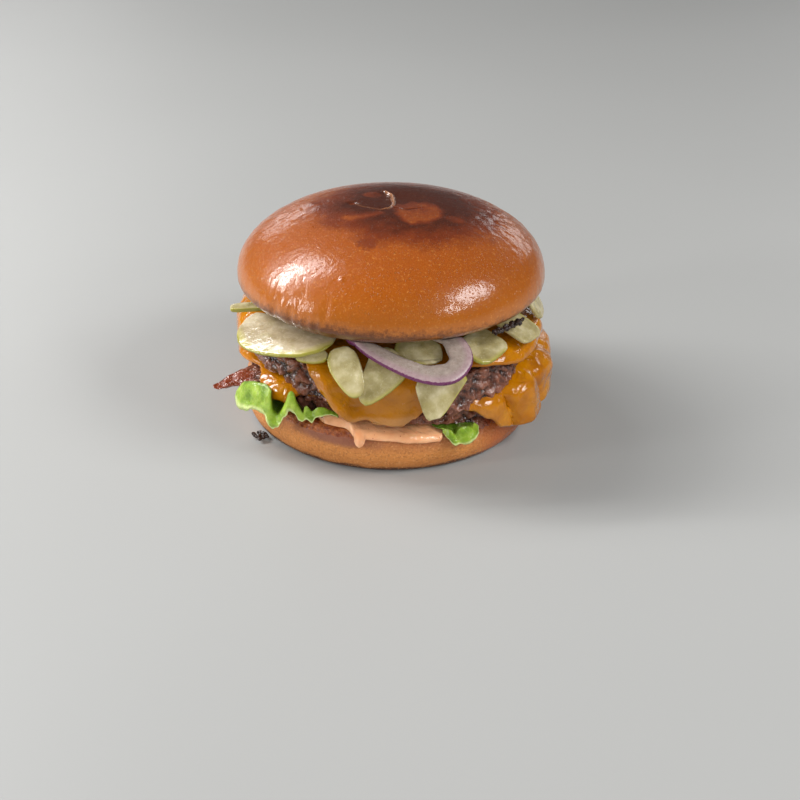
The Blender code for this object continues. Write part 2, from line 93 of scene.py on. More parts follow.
UPPER_LAYER = {"top": UPPER_PATTY[1], "share": SAG_UPPER_TOP, "rim": UPPER_RIM, "hem": UPPER_HEM,
               "thick": UPPER_CHEESE_THICK, "belly": UPPER_BELLY, "seed": 22}
LOWER_LAYER = {"top": LOWER_PATTY[1], "share": SAG_LOWER_TOP, "rim": LOWER_RIM, "hem": LOWER_HEM,
               "thick": LOWER_CHEESE_THICK, "belly": BELLY, "seed": 21}

class Slice(NamedTuple):
    """A flat slice of pickle or onion, in mm and degrees."""

    at: tuple  # its middle, as (angle, radius, height)
    pitch: float  # how steeply it slopes outwards
    turn: float  # its turn in its own plane
    size: tuple  # length and width
    square: float  # 2 for an ellipse, and more for squarer ends
    curl: float = 0  # how far each CURL_SPAN of its width bends over the rim
    cut: float = 0  # share of the width that is cut off on the inner side
    taper: float = 0  # how much narrower the outer side is
    skew: float = 0  # how far the outer side leans along
    olive: float = 0.6  # 0 for beige flesh, 1 for olive
    rind: float = -90  # the side that still has its rind, in its own plane, from its right


SLICE_THICK = 1.8
CURL_SPAN = 20
PICKLES = {
    "pickle_left": Slice((-46, 48.8, 44.8), 13, 22, (37, 25), 2.4, curl=14, cut=0.2, olive=0.1),
    "pickle_left_under": Slice((-30.5, 51.4, 41.2), 38, 14, (12, 5.4), 2.6),
    "pickle_strip": Slice((-72.5, 51.2, 44.7), 3, 76, (15.5, 5.0), 3.5),
    "pickle_front_left": Slice((-15.0, 53.4, 39.4), 50, 34, (11.5, 19), 2.5, curl=24, taper=0.4, rind=205),
    "pickle_front_under": Slice((-3.0, 52.0, 37.7), 48, -30, (16, 22), 2.6, curl=26, taper=0.72, rind=-20),
    "pickle_middle": Slice((13.5, 42.8, 41.9), 27, -12, (16.5, 12), 2.6, rind=200),
    "pickle_hanging": Slice((19.2, 56.0, 31.4), 66, 0, (18.5, 15), 5.0, curl=12, taper=0.86, skew=-0.28,
                            rind=20),
    "pickle_right": Slice((40, 49.6, 43.0), 17, 14, (16.5, 14), 4.0, curl=12, rind=215),
    "pickle_far_right": Slice((61, 50.6, 43.9), 20, -6, (13, 16), 4.0, curl=14, rind=20),
    "pickle_right_back": Slice((80, 52.4, 44.6), 58, 6, (12, 10), 2.6, rind=10),
    "pickle_back_left": Slice((-142, 46.8, 42.6), 12, -12, (34, 18), 2.2, curl=14, cut=0.2),
    "pickle_back": Slice((160, 47.0, 42.2), 14, 8, (24, 16), 2.8, curl=14),
    "pickle_back_right": Slice((120, 48.2, 42.6), 14, -10, (22, 16), 2.4, curl=14),
}
ONION = Slice((8.7, 43.9, 46.9), 24, -38, (46, 27.2), 2.4)
# The onion ring's width, how much wider it is on one side, and its thickness
ONION_BAND, ONION_LOPSIDED, ONION_THICK = 6.1, 1.9, 2.6
LEAF_THICK = 0.38
CRUMB_VOXEL = 0.18

# Each light: its angle round the burger, elevation, distance and size in m, power in W, and roll
LIGHTS = {
    "softbox_left": (-107, 40, 0.9, (0.24, 0.80), 7.8, 36),
    "strip_left": (-104, 36, 0.9, (0.05, 0.46), 4.0, 36),
    "softbox_right": (73, 43, 0.9, (0.34, 0.26), 4.2, 0),
    "kicker_left": (-68, 14, 0.9, (0.10, 0.30), 2.2, 0),
    "kicker_right": (50, 31, 0.9, (0.13, 0.11), 1.3, 0),
    "rim_left": (-158, 12, 1.6, (0.48, 0.24), 1.0, 0),
    "rim_right": (150, 14, 1.6, (0.60, 0.30), 1.4, 0),
    "front_fill": (4, 21, 1.6, (1.6, 1.2), 12.4, 0),
}
LIGHT_AIM = (0, 0, 0.045)

# The camera, fitted to the photograph: its aim in mm, and its distance from it
VIEW_AIM = (3.8, 3.0, -6.0)
VIEW_DISTANCE = 608.0
VIEW_ELEVATION = math.radians(30.65)
VIEW_ROLL = math.radians(0.98)
VIEW_LENS = 72.25
VIEW_SHIFT = (0.0008, 0.0081)


# Numbers and noise

def ease(x, low, high):
    """0 below low, 1 above high, and a smooth step between."""
    t = np.clip((np.asarray(x, float) - low) / (high - low), 0, 1)
    return t * t * (3 - 2 * t)


def ring(spots, angle):
    """The smooth value at each angle of a list of (angle, value) that goes once round."""
    places = np.array([spot[0] for spot in spots] + [spots[0][0] + 360], float)
    values = np.array([spot[1] for spot in spots] + [spots[0][1]], float)
    angle = (np.asarray(angle, float) - places[0]) % 360 + places[0]
    k = np.clip(np.searchsorted(places, angle, side="right") - 1, 0, len(spots) - 1)
    return values[k] + (values[k + 1] - values[k]) * ease(angle, places[k], places[k + 1])


def near(angle, centre, half_width):
    """A smooth bump of height 1 round this angle."""
    away = (angle - centre + 180) % 360 - 180
    return np.exp(-((away / half_width) ** 2))


def bumps(angle, *rows):
    """The sum of several smooth bumps, each given as (height, centre, half width)."""
    return sum(height * near(angle, centre, half) for height, centre, half in rows)


def spot(x, y, middle, half):
    """A smooth spot of height 1 on the top, with this middle and these half sizes."""
    return np.exp(-(((x - middle[0]) / half[0]) ** 2 + ((y - middle[1]) / half[1]) ** 2))


def polar(angle, radius, height):
    """Points at an angle, a radius and a height. Either of the last two may be one number for all angles."""
    turn = np.radians(angle)
    return np.stack([np.sin(turn) * radius, -np.cos(turn) * radius, height + 0 * turn], axis=-1)


def angle_of(points):
    return np.degrees(np.arctan2(points[:, 0], -points[:, 1]))


def hashed(cell, seed):
    """A random-looking number from 0 to 1 for each whole-number cell."""
    cell = cell.astype(np.int64)
    mixed = (cell[:, 0] * 73856093) ^ (cell[:, 1] * 19349663) ^ (cell[:, 2] * 83492791) ^ (seed * 40503)
    mixed = ((mixed ^ (mixed >> 13)) * 1274126177) & 0xFFFFFFFF
    return ((mixed ^ (mixed >> 15)) & 0xFFFF) / 0xFFFF


def lumps(points, size, seed=0):
    """Smooth noise from -1 to 1 with features of this size in mm."""
    scaled = points / size + 0.37 * seed
    base = np.floor(scaled)
    part = scaled - base
    part = part * part * (3 - 2 * part)
    total = np.zeros(len(points))
    for corner in np.ndindex(2, 2, 2):
        weight = np.prod(np.where(corner, part, 1 - part), axis=1)
        total += weight * hashed(base + corner, seed)
    return total * 2 - 1


def shake(points, size, seed):
    """Smooth noise in three directions."""
    return np.stack([lumps(points, size, seed + k) for k in range(3)], axis=1)


def grains(points, size, seed=0):
    """Rounded grains of this size in mm: 1 in the middle of a grain and 0 in the cracks between them."""
    scaled = points / size + 0.37 * seed
    base = np.floor(scaled)
    first = np.full(len(points), 9.0)
    second = np.full(len(points), 9.0)
    for step in np.ndindex(3, 3, 3):
        cell = base + np.array(step) - 1
        spot = cell + np.stack([hashed(cell, seed + k) for k in (1, 2, 3)], axis=1)
        away = np.linalg.norm(spot - scaled, axis=1)
        second = np.minimum(second, np.maximum(first, away))
        first = np.minimum(first, away)
    return np.clip((second - first) * 1.6, 0, 1) ** 0.6


def stroke(x, y, spots):
    """Distance from a line through these spots, its side (1 left, -1 right) and the share along it."""
    nearest, side, share = np.full(len(x), 1e9), np.zeros(len(x)), np.zeros(len(x))
    for k, ((ax, ay), (bx, by)) in enumerate(zip(spots, spots[1:])):
        dx, dy = bx - ax, by - ay
        t = np.clip(((x - ax) * dx + (y - ay) * dy) / (dx * dx + dy * dy), 0, 1)
        away = np.hypot(x - ax - t * dx, y - ay - t * dy)
        closer = away < nearest
        nearest = np.where(closer, away, nearest)
        side = np.where(closer, np.sign(dx * (y - ay) - dy * (x - ax)), side)
        share = np.where(closer, (k + t) / (len(spots) - 1), share)
    return nearest, side, share


# How the layers lie on each other

def sag(angle, radius):
    """How far the layers sag below their level at the centre, in mm."""
    return ring(SAG_RING, angle) * np.maximum(0, (radius - SAG_START) / (SAG_END - SAG_START))


def dip(angle, radius):
    """How far the heel's cut face dips, in mm."""
    return ring(DIP_RING, angle) * np.clip((radius - SAG_START) / (SAG_END - SAG_START), 0, 1)


def rim_top(angle, layer):
    """Height at which a patty's top starts to bend down its rim."""
    return layer["top"] - layer["share"] * sag(angle, ring(layer["rim"], angle) - RIM_ROUND)


def drape(angle, along, layer, clear):
    """Radius and height of a line that lies on a patty and bends down its rim, along mm from the centre."""
    corner = RIM_ROUND + clear
    flat = ring(layer["rim"], angle) - RIM_ROUND
    edge_z = rim_top(angle, layer) + clear
    turn = np.clip((along - flat) / corner, 0, math.pi / 2)
    on_top = along <= flat
    radius = np.where(on_top, along, flat + corner * np.sin(turn))
    hanging = np.maximum(0, along - flat - corner * math.pi / 2)
    height = np.where(on_top, layer["top"] - layer["share"] * sag(angle, along) + clear,
                      edge_z - corner * (1 - np.cos(turn)) - hanging)
    return radius, height


def drape_length(angle, layer, clear):
    """How long a sheet is from the centre so that its edge hangs at the height of the hem."""
    corner = RIM_ROUND + clear
    flat = ring(layer["rim"], angle) - RIM_ROUND
    drop = rim_top(angle, layer) + clear - ring(layer["hem"], angle)
    bent = flat + corner * np.arccos(np.clip(1 - drop / corner, -1, 1))
    hanging = flat + corner * math.pi / 2 + drop - corner
    return np.where(drop <= 0, flat + np.maximum(-8, 1.2 * drop), np.where(drop < corner, bent, hanging))


def crown_under(points):
    """Height of the crown's underside above these points."""
    reach = np.hypot(points[:, 0], points[:, 1])
    cut = CROWN_RADIUS * math.cos(math.asin((CROWN_WAIST - CROWN_CUT_Z) / CROWN_DROP))
    share = np.minimum(1, np.maximum(reach, cut) / CROWN_RADIUS)
    return CROWN_WAIST - CROWN_DROP * np.sqrt(1 - share ** 2) - points[:, 1] * math.sin(CROWN_TILT)


def fit_between(points, half):
    """Moves points of a slice's middle out of the cheese below and the crown above."""
    angle, reach = angle_of(points), np.hypot(points[:, 0], points[:, 1])
    centre = ring(UPPER_RIM, angle) - RIM_ROUND
    shell = CHEESE_CLEAR + UPPER_CHEESE_THICK + GAP + half
    surface = UPPER_LAYER["top"] - SAG_UPPER_TOP * sag(angle, reach) + shell
    core = rim_top(angle, UPPER_LAYER) - RIM_ROUND
    out, up = reach - centre, np.maximum(0, points[:, 2] - core)
    away = np.maximum(np.hypot(out, up), 1e-6)
    least = RIM_ROUND + shell + 0.3
    push = np.where((reach >= centre) & (away < least), least / away, 1)
    inside = reach < centre
    reach = np.where(inside, reach, centre + out * push)
    lifted = np.where(points[:, 2] > core, np.maximum(points[:, 2], core + up * push), points[:, 2])
    height = np.where(inside, np.maximum(points[:, 2], surface), lifted)
    moved = polar(angle, reach, height)
    moved[:, 2] = np.minimum(moved[:, 2], crown_under(moved) - GAP - half - 0.15)
    return moved


# Building pieces

def coordinates(piece):
    flat = np.empty(len(piece.data.vertices) * 3)
    piece.data.vertices.foreach_get("co", flat)
    return flat.reshape(-1, 3)


def move_to(piece, points):
    """Puts a piece's vertices at these points, in mm."""
    piece.data.vertices.foreach_set("co", (points * MM).ravel())


def grid_piece(name, across, rows, rule, closed=True):
    """A grid primitive bent by a rule, which turns u and v from 0 to 1 into points in mm and named marks."""
    bpy.ops.object.select_all(action="DESELECT")
    bpy.ops.mesh.primitive_grid_add(x_subdivisions=int(across * FINENESS),
                                    y_subdivisions=int(rows * FINENESS), size=2)
    piece = bpy.context.object
    piece.name = piece.data.name = name
    u, v = ((coordinates(piece)[:, k] + 1) / 2 for k in (0, 1))
    points, marks = rule(np.clip(u, 0, 1), np.clip(v, 0, 1))
    move_to(piece, points)
    for mark, values in marks.items():
        layer = piece.data.attributes.new(mark, "FLOAT", "POINT")
        layer.data.foreach_set("value", np.ascontiguousarray(values, float))
    bpy.ops.object.mode_set(mode="EDIT")
    bpy.ops.mesh.select_all(action="SELECT")
    bpy.ops.mesh.remove_doubles(threshold=2e-6)
    if closed:
        bpy.ops.mesh.normals_make_consistent(inside=False)
    bpy.ops.object.mode_set(mode="OBJECT")
    bpy.ops.object.shade_smooth()
    return piece


def dress(piece, finish, slot, *nodes):
    """Gives a piece its material, its place on the body, and the solids that it stands for."""
    piece.data.materials.clear()
    piece.data.materials.append(finish)
    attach(piece, "root")
    if nodes:
        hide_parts(*nodes)


class Paint:
    """A material being built from nodes. Each method adds nodes and gives their output."""

    def __init__(self, name):
        self.material = bpy.data.materials.new(name)
        self.material.use_nodes = True
        self.tree = self.material.node_tree
        self.shader = self.tree.nodes["Principled BSDF"]
        self.place = self.tree.nodes.new("ShaderNodeTexCoord").outputs["Object"]

    def put(self, socket, value):
        if isinstance(value, bpy.types.NodeSocket):
            self.tree.links.new(value, socket)
        elif isinstance(value, tuple) and len(value) == 3 and socket.type == "RGBA":
            socket.default_value = (*value, 1)
        else:
            socket.default_value = value

    def node(self, kind, **inputs):
        made = self.tree.nodes.new("ShaderNode" + kind)
        for key, value in inputs.items():
            self.put(made.inputs[key], value)
        return made

    def noise(self, size, detail=3.0, roughness=0.55, distortion=0.0, stretch=(1, 1, 1)):
        """Noise from 0 to 1 with features of this size in mm."""
        mapped = self.node("Mapping", Vector=self.place, Scale=stretch)
        made = self.node("TexNoise", Vector=mapped.outputs[0], Scale=1 / MM / size, Detail=detail,
                         Roughness=roughness, Distortion=distortion)
        return made.outputs["Fac"]

    def cells(self, size, feature="F1"):
        """How far a cell's middle is, or its edge, with cells of this size in mm."""
        made = self.node("TexVoronoi", Vector=self.place, Scale=1 / MM / size)
        made.feature = feature
        return made.outputs["Distance"]

    def mark(self, name):
        """The value that the mesh has for this mark."""
        made = self.tree.nodes.new("ShaderNodeAttribute")
        made.attribute_name = name
        return made.outputs["Fac"]

    def ramp(self, value, *stops):
        """Colours or numbers along a value: each stop is (place, colour or number)."""
        made = self.node("ValToRGB", Fac=value)
        while len(made.color_ramp.elements) < len(stops):
            made.color_ramp.elements.new(0.5)
        for element, (place, colour) in zip(made.color_ramp.elements, stops):
            element.position = place
            element.color = (*colour, 1) if isinstance(colour, tuple) else (colour, colour, colour, 1)
        return made.outputs["Color"]

    def mix(self, share, first, second):
        made = self.tree.nodes.new("ShaderNodeMix")
        made.data_type = "RGBA"
        for place, value in ((0, share), (6, first), (7, second)):
            self.put(made.inputs[place], value)
        return made.outputs[2]

    def over(self, base, colour, value, *stops):
        """A base with a colour laid over it, as strongly as the ramp of a value says."""
        return self.mix(self.ramp(value, *stops), base, colour)

    def sum(self, kind, first, second):
        made = self.tree.nodes.new("ShaderNodeMath")
        made.operation = kind
        self.put(made.inputs[0], first)
        self.put(made.inputs[1], second)
        return made.outputs[0]

    def uneven(self, name, spread, noise):
        """A mark with noise added to it, from -spread / 2 to spread / 2."""
        around = self.sum("MULTIPLY", self.sum("SUBTRACT", noise, 0.5), spread)
        return self.sum("ADD", self.mark(name), around)

    def relief(self, *layers):
        """Relief from layers of (value, depth in mm), each on top of the one before."""
        normal = None
        for height, depth in layers:
            made = self.node("Bump", Height=height, Distance=depth * MM, Strength=1.0)
            if normal is not None:
                self.put(made.inputs["Normal"], normal)
            normal = made.outputs[0]
        return normal

    def finish(self, colour, gloss, relief=None, coat=None, glow=None, specular=None):
        """The material. coat is (weight, roughness), and glow is (weight, radius, scale in mm)."""
        values = {"Base Color": colour, "Roughness": gloss, "Normal": relief, "Specular IOR Level": specular}
        if coat:
            values.update({"Coat Weight": coat[0], "Coat Roughness": coat[1], "Coat Normal": relief})
        if glow:
            values.update({"Subsurface Weight": glow[0], "Subsurface Radius": glow[1],
                           "Subsurface Scale": glow[2] * MM})
        for name, value in values.items():
            if value is not None:
                self.put(self.shader.inputs[name], value)
        return self.material


# Materials

def crust_paint():
    """Egg-glazed brioche crust, lighter at the lip and burnt round the top."""
    p = Paint("glazed_crust")
    fine = p.noise(1.1, 3)
    base = p.ramp(p.uneven("level", 0.20, p.noise(8, 5)),
                  (0.0, (0.54, 0.240, 0.085)), (0.14, (0.44, 0.152, 0.032)), (0.34, (0.375, 0.102, 0.007)),
                  (0.62, (0.325, 0.075, 0.004)), (1.0, (0.27, 0.061, 0.010)))
    base = p.over(base, (0.62, 0.26, 0.06), p.noise(0.8, 2), (0.58, 0.0), (0.74, 0.45))
    edge = p.uneven("lip", 1.7, p.noise(2.2, 6, 0.8))
    colour = p.over(base, (0.085, 0.024, 0.008), edge, (0.36, 0.0), (0.86, 0.85))
    scorch = p.uneven("burnt", 0.55, p.noise(3.4, 6, 0.68, 0.5))
    colour = p.over(colour, (0.120, 0.018, 0.005), scorch, (0.12, 0.0), (0.52, 0.85))
    colour = p.over(colour, (0.046, 0.010, 0.004), scorch, (0.52, 0.0), (0.95, 0.9))
    colour = p.over(colour, (0.15, 0.028, 0.008), p.uneven("stain", 0.8, fine), (0.30, 0.0), (0.62, 0.85))
    colour = p.mix(p.mark("torn"), colour, (0.44, 0.19, 0.085))
    colour = p.over(colour, (0.10, 0.03, 0.012), p.cells(2.8), (0.03, 0.6), (0.07, 0.0))
    relief = p.relief((fine, 0.07), (p.noise(0.5, 2), 0.03),
                      (p.ramp(p.noise(0.7, 2), (0.62, 0.0), (0.72, 1.0)), 0.06),
                      (p.noise(5, 4, 0.5, 0.6, (1, 1, 0.35)), 0.26))
    gloss = p.ramp(p.noise(2.4, 5, 0.7), (0.3, 0.24), (0.75, 0.5))
    return p.finish(colour, gloss, relief, coat=(0.65, 0.05), glow=(0.05, (1.0, 0.35, 0.12), 2), specular=0.2)


def heel_paint():
    """Matte golden side with fine pores, toasted and wet along the sliced edge."""
    p = Paint("bun_crumb_crust")
    fine = p.noise(0.9, 4, 0.6)
    base = p.ramp(p.uneven("level", 0.22, p.noise(6, 4)),
                  (0.09, (0.06, 0.018, 0.008)), (0.17, (0.50, 0.183, 0.042)), (0.50, (0.63, 0.245, 0.058)),
                  (0.76, (0.52, 0.19, 0.060)), (0.92, (0.40, 0.15, 0.060)), (1.0, (0.50, 0.25, 0.12)))
    base = p.over(base, (0.36, 0.12, 0.03), fine, (0.36, 0.6), (0.50, 0.0))
    base = p.over(base, (0.80, 0.42, 0.16), p.noise(0.7, 2), (0.56, 0.0), (0.70, 0.45))
    smear = p.uneven("smear", 0.7, p.noise(4, 4))
    base = p.over(base, (0.24, 0.085, 0.06), smear, (0.4, 0.0), (0.9, 0.75))
    wet = p.ramp(p.uneven("wet", 0.9, p.noise(2.5, 4)), (0.4, 0.0), (0.72, 1.0))
    drenched = p.over((0.20, 0.036, 0.009), (0.46, 0.13, 0.026), p.noise(1.4, 4), (0.4, 0.0), (0.6, 1.0))
    colour = p.mix(wet, base, drenched)
    soaked = p.uneven("soaked", 0.7, p.noise(5, 4))
    colour = p.over(colour, (0.42, 0.095, 0.018), soaked, (0.35, 0.0), (0.9, 0.8))
    gloss = p.ramp(p.sum("ADD", wet, p.mark("soaked")), (0.0, 0.62), (0.8, 0.12))
    relief = p.relief((fine, 0.40), (p.noise(3.2, 3), 0.45))
    return p.finish(colour, gloss, relief, glow=(0.06, (1.0, 0.4, 0.15), 2))


def beef_paint():
    """Seared minced beef: purplish brown grains, painted shade darkening the cracks between them, wet fat on
    the high spots.
    """
    p = Paint("browned_beef")
    tone = p.ramp(p.noise(3.0, 5, 0.65), (0.30, (0.070, 0.017, 0.008)), (0.46, (0.165, 0.049, 0.025)),
                  (0.60, (0.245, 0.091, 0.053)), (0.76, (0.165, 0.034, 0.012)))
    tone = p.over(tone, (0.36, 0.170, 0.110), p.noise(0.8, 3), (0.46, 0.0), (0.66, 0.4))
    # Painted shade: near black where the relief is low, in the cracks between the grains
    colour = p.over(tone, (0.014, 0.003, 0.002), p.mark("depth"), (0.26, 1.0), (0.56, 0.0))
    red = p.uneven("crisp", 0.8, p.noise(2.0, 4))
    colour = p.over(colour, (0.22, 0.036, 0.010), red, (0.45, 0.0), (0.8, 0.85))
    relief = p.relief((p.noise(0.8, 2), 0.08), (p.noise(2.2, 3, 0.5, 0.9), 0.75))
    gloss = p.ramp(p.noise(1.5, 4, 0.7), (0.40, 0.08), (0.64, 0.40))
    return p.finish(colour, gloss, relief, coat=(0.9, 0.06), glow=(0.04, (1.0, 0.3, 0.2), 1), specular=0.25)


def cheese_paint():
    """Melted cheddar: rich yellow-orange, browner in patches, paler where it is thin, with painted shade on
    the front of the upper slice's drape, and a greasy gloss.
    """
    p = Paint("melted_cheddar")
    tone = p.ramp(p.noise(9, 4, 0.55), (0.28, (0.345, 0.106, 0.001)), (0.48, (0.45, 0.152, 0.001)),
                  (0.70, (0.56, 0.213, 0.001)))
    # Painted shade: the front of the upper slice's drape, under the crown, is darkened to an even gold
    tone = p.mix(p.mark("deep"), tone, (0.37, 0.137, 0.001))
    tone = p.over(tone, (0.33, 0.10, 0.004), p.noise(2.2, 4, 0.7, 0.8), (0.56, 0.0), (0.76, 0.22))
    colour = p.mix(p.mark("thin"), tone, (0.47, 0.215, 0.060))
    relief = p.relief((p.noise(0.9, 3), 0.03), (p.noise(5.5, 3, 0.5, 0.6), 1.1))
    gloss = p.ramp(p.noise(2.0, 4), (0.35, 0.10), (0.7, 0.28))
    return p.finish(colour, gloss, relief, coat=(0.65, 0.05), glow=(0.10, (1.0, 0.45, 0.06), 2), specular=0.2)


def pickle_paint():
    """Wet translucent pickle: beige-green flesh with pale fibres and a thin yellow-green rind."""
    p = Paint("pickle")
    rind, cloud = p.mark("rind"), p.noise(6.0, 4, 0.5)
    beige = p.ramp(cloud, (0.30, (0.37, 0.285, 0.165)), (0.48, (0.49, 0.390, 0.255)),
                   (0.68, (0.64, 0.550, 0.39)))
    olive = p.ramp(cloud, (0.30, (0.24, 0.205, 0.042)), (0.50, (0.40, 0.350, 0.115)),
                   (0.70, (0.66, 0.590, 0.32)))
    flesh = p.mix(p.mark("olive"), beige, olive)
    fibres = p.noise(1.3, 5, 0.75, 2.0, (1, 1, 0.3))
    flesh = p.over(flesh, (0.84, 0.79, 0.60), fibres, (0.56, 0.0), (0.74, 0.45))
    flesh = p.over(flesh, (0.34, 0.30, 0.075), p.noise(3.4, 4), (0.54, 0.0), (0.80, 0.4))
    colour = p.over(flesh, (0.45, 0.40, 0.085), rind, (0.78, 0.0), (0.925, 0.7))
    colour = p.over(colour, (0.30, 0.275, 0.030), rind, (0.94, 0.0), (0.975, 0.85))
    relief = p.relief((p.noise(0.9, 3), 0.06), (p.noise(4.2, 3), 0.40))
    gloss = p.ramp(p.noise(2.0, 3), (0.3, 0.12), (0.7, 0.30))
    return p.finish(colour, gloss, relief, coat=(0.55, 0.06), glow=(0.15, (1.0, 0.85, 0.4), 2))


def onion_paint():
    """Red onion: pale lilac flesh with fine lines, and a thin purple outer skin."""
    p = Paint("red_onion")
    flesh = p.ramp(p.noise(2.4, 4, 0.6), (0.3, (0.33, 0.26, 0.22)), (0.6, (0.43, 0.35, 0.30)),
                   (0.8, (0.54, 0.46, 0.40)))
    flesh = p.over(flesh, (0.62, 0.55, 0.49), p.noise(0.5, 3), (0.56, 0.0), (0.72, 0.5))
    flesh = p.over(flesh, (0.46, 0.27, 0.34), p.mark("skin"), (0.55, 0.0), (0.80, 0.45))
    skin = p.uneven("skin", 0.10, p.noise(0.9, 3))
    colour = p.over(flesh, (0.155, 0.032, 0.105), skin, (0.935, 0.0), (0.965, 1.0))
    gloss = p.ramp(p.noise(1.5, 3), (0.3, 0.2), (0.7, 0.4))
    return p.finish(colour, gloss, p.relief((p.noise(0.6, 3), 0.08)), glow=(0.2, (1.0, 0.7, 0.7), 1.5))


def leaf_paint():
    """Lettuce: fresh green, with painted shade darkening it towards its hidden base under the patty, pale
    veins and a yellow-green margin.
    """
    p = Paint("lettuce")
    margin = p.mark("margin")
    tone = p.ramp(p.noise(5, 4, 0.6), (0.3, (0.11, 0.21, 0.008)), (0.5, (0.24, 0.37, 0.022)),
                  (0.72, (0.42, 0.56, 0.075)))
    # Painted shade: darker green towards the hidden base, where the leaf runs in under the patty
    tone = p.over(tone, (0.05, 0.10, 0.005), margin, (0.30, 0.9), (0.66, 0.0))
    tone = p.over(tone, (0.34, 0.50, 0.10), p.cells(3.4, "DISTANCE_TO_EDGE"), (0.01, 0.35), (0.06, 0.0))
    colour = p.over(tone, (0.66, 0.74, 0.30), margin, (0.88, 0.0), (0.96, 0.8))
    return p.finish(colour, 0.30, p.relief((p.noise(2.2, 3), 0.5)), glow=(0.15, (0.4, 1.0, 0.2), 1.2))


def sauce_paint():
    """Salmon-pink sauce with small flecks of spice."""
    p = Paint("burger_sauce")
    tone = p.ramp(p.noise(4, 3), (0.3, (0.84, 0.38, 0.17)), (0.7, (0.92, 0.50, 0.26)))
    colour = p.over(tone, (0.45, 0.06, 0.015), p.cells(2.4), (0.05, 0.8), (0.11, 0.0))
    relief = p.relief((p.noise(3.0, 3), 0.6))
    return p.finish(colour, 0.2, relief, coat=(0.6, 0.07), glow=(0.2, (1.0, 0.5, 0.35), 2))


def char_paint():
    """Charred crumbs: black with a brown cast and a greasy shine."""
    p = Paint("charred_crumb")
    tone = p.ramp(p.noise(0.9, 4), (0.3, (0.006, 0.004, 0.003)), (0.75, (0.045, 0.014, 0.007)))
    gloss = p.ramp(p.noise(0.8, 3), (0.3, 0.15), (0.7, 0.5))
    return p.finish(tone, gloss, p.relief((p.noise(0.5, 3), 0.2)))


# Buns

# The edge of the torn flap on the top, running out into a seam, the crease beside it, and a paler streak
FLAP = [(-4.1, 17.0), (-1.8, 14.2), (-0.1, 10.7), (0.6, 5.5), (0.3, 0.8), (-1.2, -2.8), (-4.1, -4.6),
        (-6.8, -3.2), (-9.4, -1.9), (-12.6, 0.6), (-15.0, 3.4)]
CREASE = [(0.8, -1.2), (3.6, -2.6), (6.3, -3.2), (9.0, -1.6), (12.0, -2.2)]
STREAK = [(-15.7, -9.9), (-10.1, -10.2), (-4.1, -7.2)]
# Spots on the top that stay pale: middle, half sizes and strength
PALE_SPOTS = [(8.6, -4.0, 11.6, 12.2, 0.85), (-7.2, 11.2, 4.0, 3.4, 0.55), (22, -9, 4, 3, 0.25)]
# The shares of the crown's rows at which the dome ends and the cut face starts
DOME_END, CUT_START = 0.76, 0.91
# The heel's section: share of the rows, radius and height
HEEL_PROFILE = [(0, 0, HEEL_TOP), (0.04, 24, HEEL_TOP), (0.10, 50.1, HEEL_TOP), (0.13, 50.9, 15.1),
                (0.19, 51.7, 14.2), (0.30, 52.5, 12.4), (0.42, 52.9, 10.2), (0.53, HEEL_RADIUS, 8.0),
                (0.66, 52.9, 5.4), (0.78, 52.4, 3.0), (0.87, 51.6, 1.1), (0.92, 50.7, 0.2),
                (0.935, HEEL_BASE_RADIUS, 0), (0.96, 24, 0), (1, 0, 0)]


def crown_profile(v):
    """Radius and height from the top over the dome, round the lip and to the middle of the cut face."""
    cut = math.asin((CROWN_WAIST - CROWN_CUT_Z) / CROWN_DROP)
    rise = np.radians(np.interp(v, [0, 0.30, DOME_END], [90, 66, 0]))
    fall = cut * np.clip((v - DOME_END) / (CUT_START - DOME_END), 0, 1)
    inward = np.clip((v - CUT_START) / (1 - CUT_START), 0, 1)
    dome = v < DOME_END
    radius = CROWN_RADIUS * np.where(dome, np.cos(rise) ** 0.92, np.cos(fall)) * (1 - inward)
    domed = CROWN_WAIST + CROWN_RISE * np.sin(rise) ** 0.95
    return radius, np.where(dome, domed, CROWN_WAIST - CROWN_DROP * np.sin(fall))


def wrinkle(points, angle, height, upper, v):
    """Slow unevenness, then creases that run down to the lip, deepest on the left, and a grainy shoulder."""
    crust = v < 0.915
    lower = 1 - ease(height, CROWN_WAIST - 1, CROWN_WAIST + 13)
    swell = 1 + 0.006 * lumps(points, 30, 2) + 0.0025 * lumps(points, 13, 3)
    streaked = np.stack([angle * 0.95, height * 0.30, 0 * angle], axis=-1)
    creased = (0.15 + 0.85 * near(angle, -38, 20)) * lower * ease(height, CROWN_CUT_Z, CROWN_CUT_Z + 2)
    crease = 0.55 * creased * (0.7 - 2 * np.abs(lumps(streaked, 3.4, 4)))
    crease = crease + 0.25 * creased * lumps(streaked, 1.7, 5)
    shoulder = (near(angle, 98, 34) + 0.6 * near(angle, -105, 30)) * ease(height, 58, 64)
    shoulder = shoulder * (1 - ease(height, 73, 77))
    points[:, :2] *= (swell + crease / 55 * crust)[:, None]
    points[:, 2] += crust * (0.7 * lumps(points, 34, 1) * upper) + 0.28 * shoulder * lumps(points, 2.3, 15)
    points[:, 2] -= crust * 0.5 * (1 - upper) * lower * lumps(points, 9, 6) * (v > 0.83)


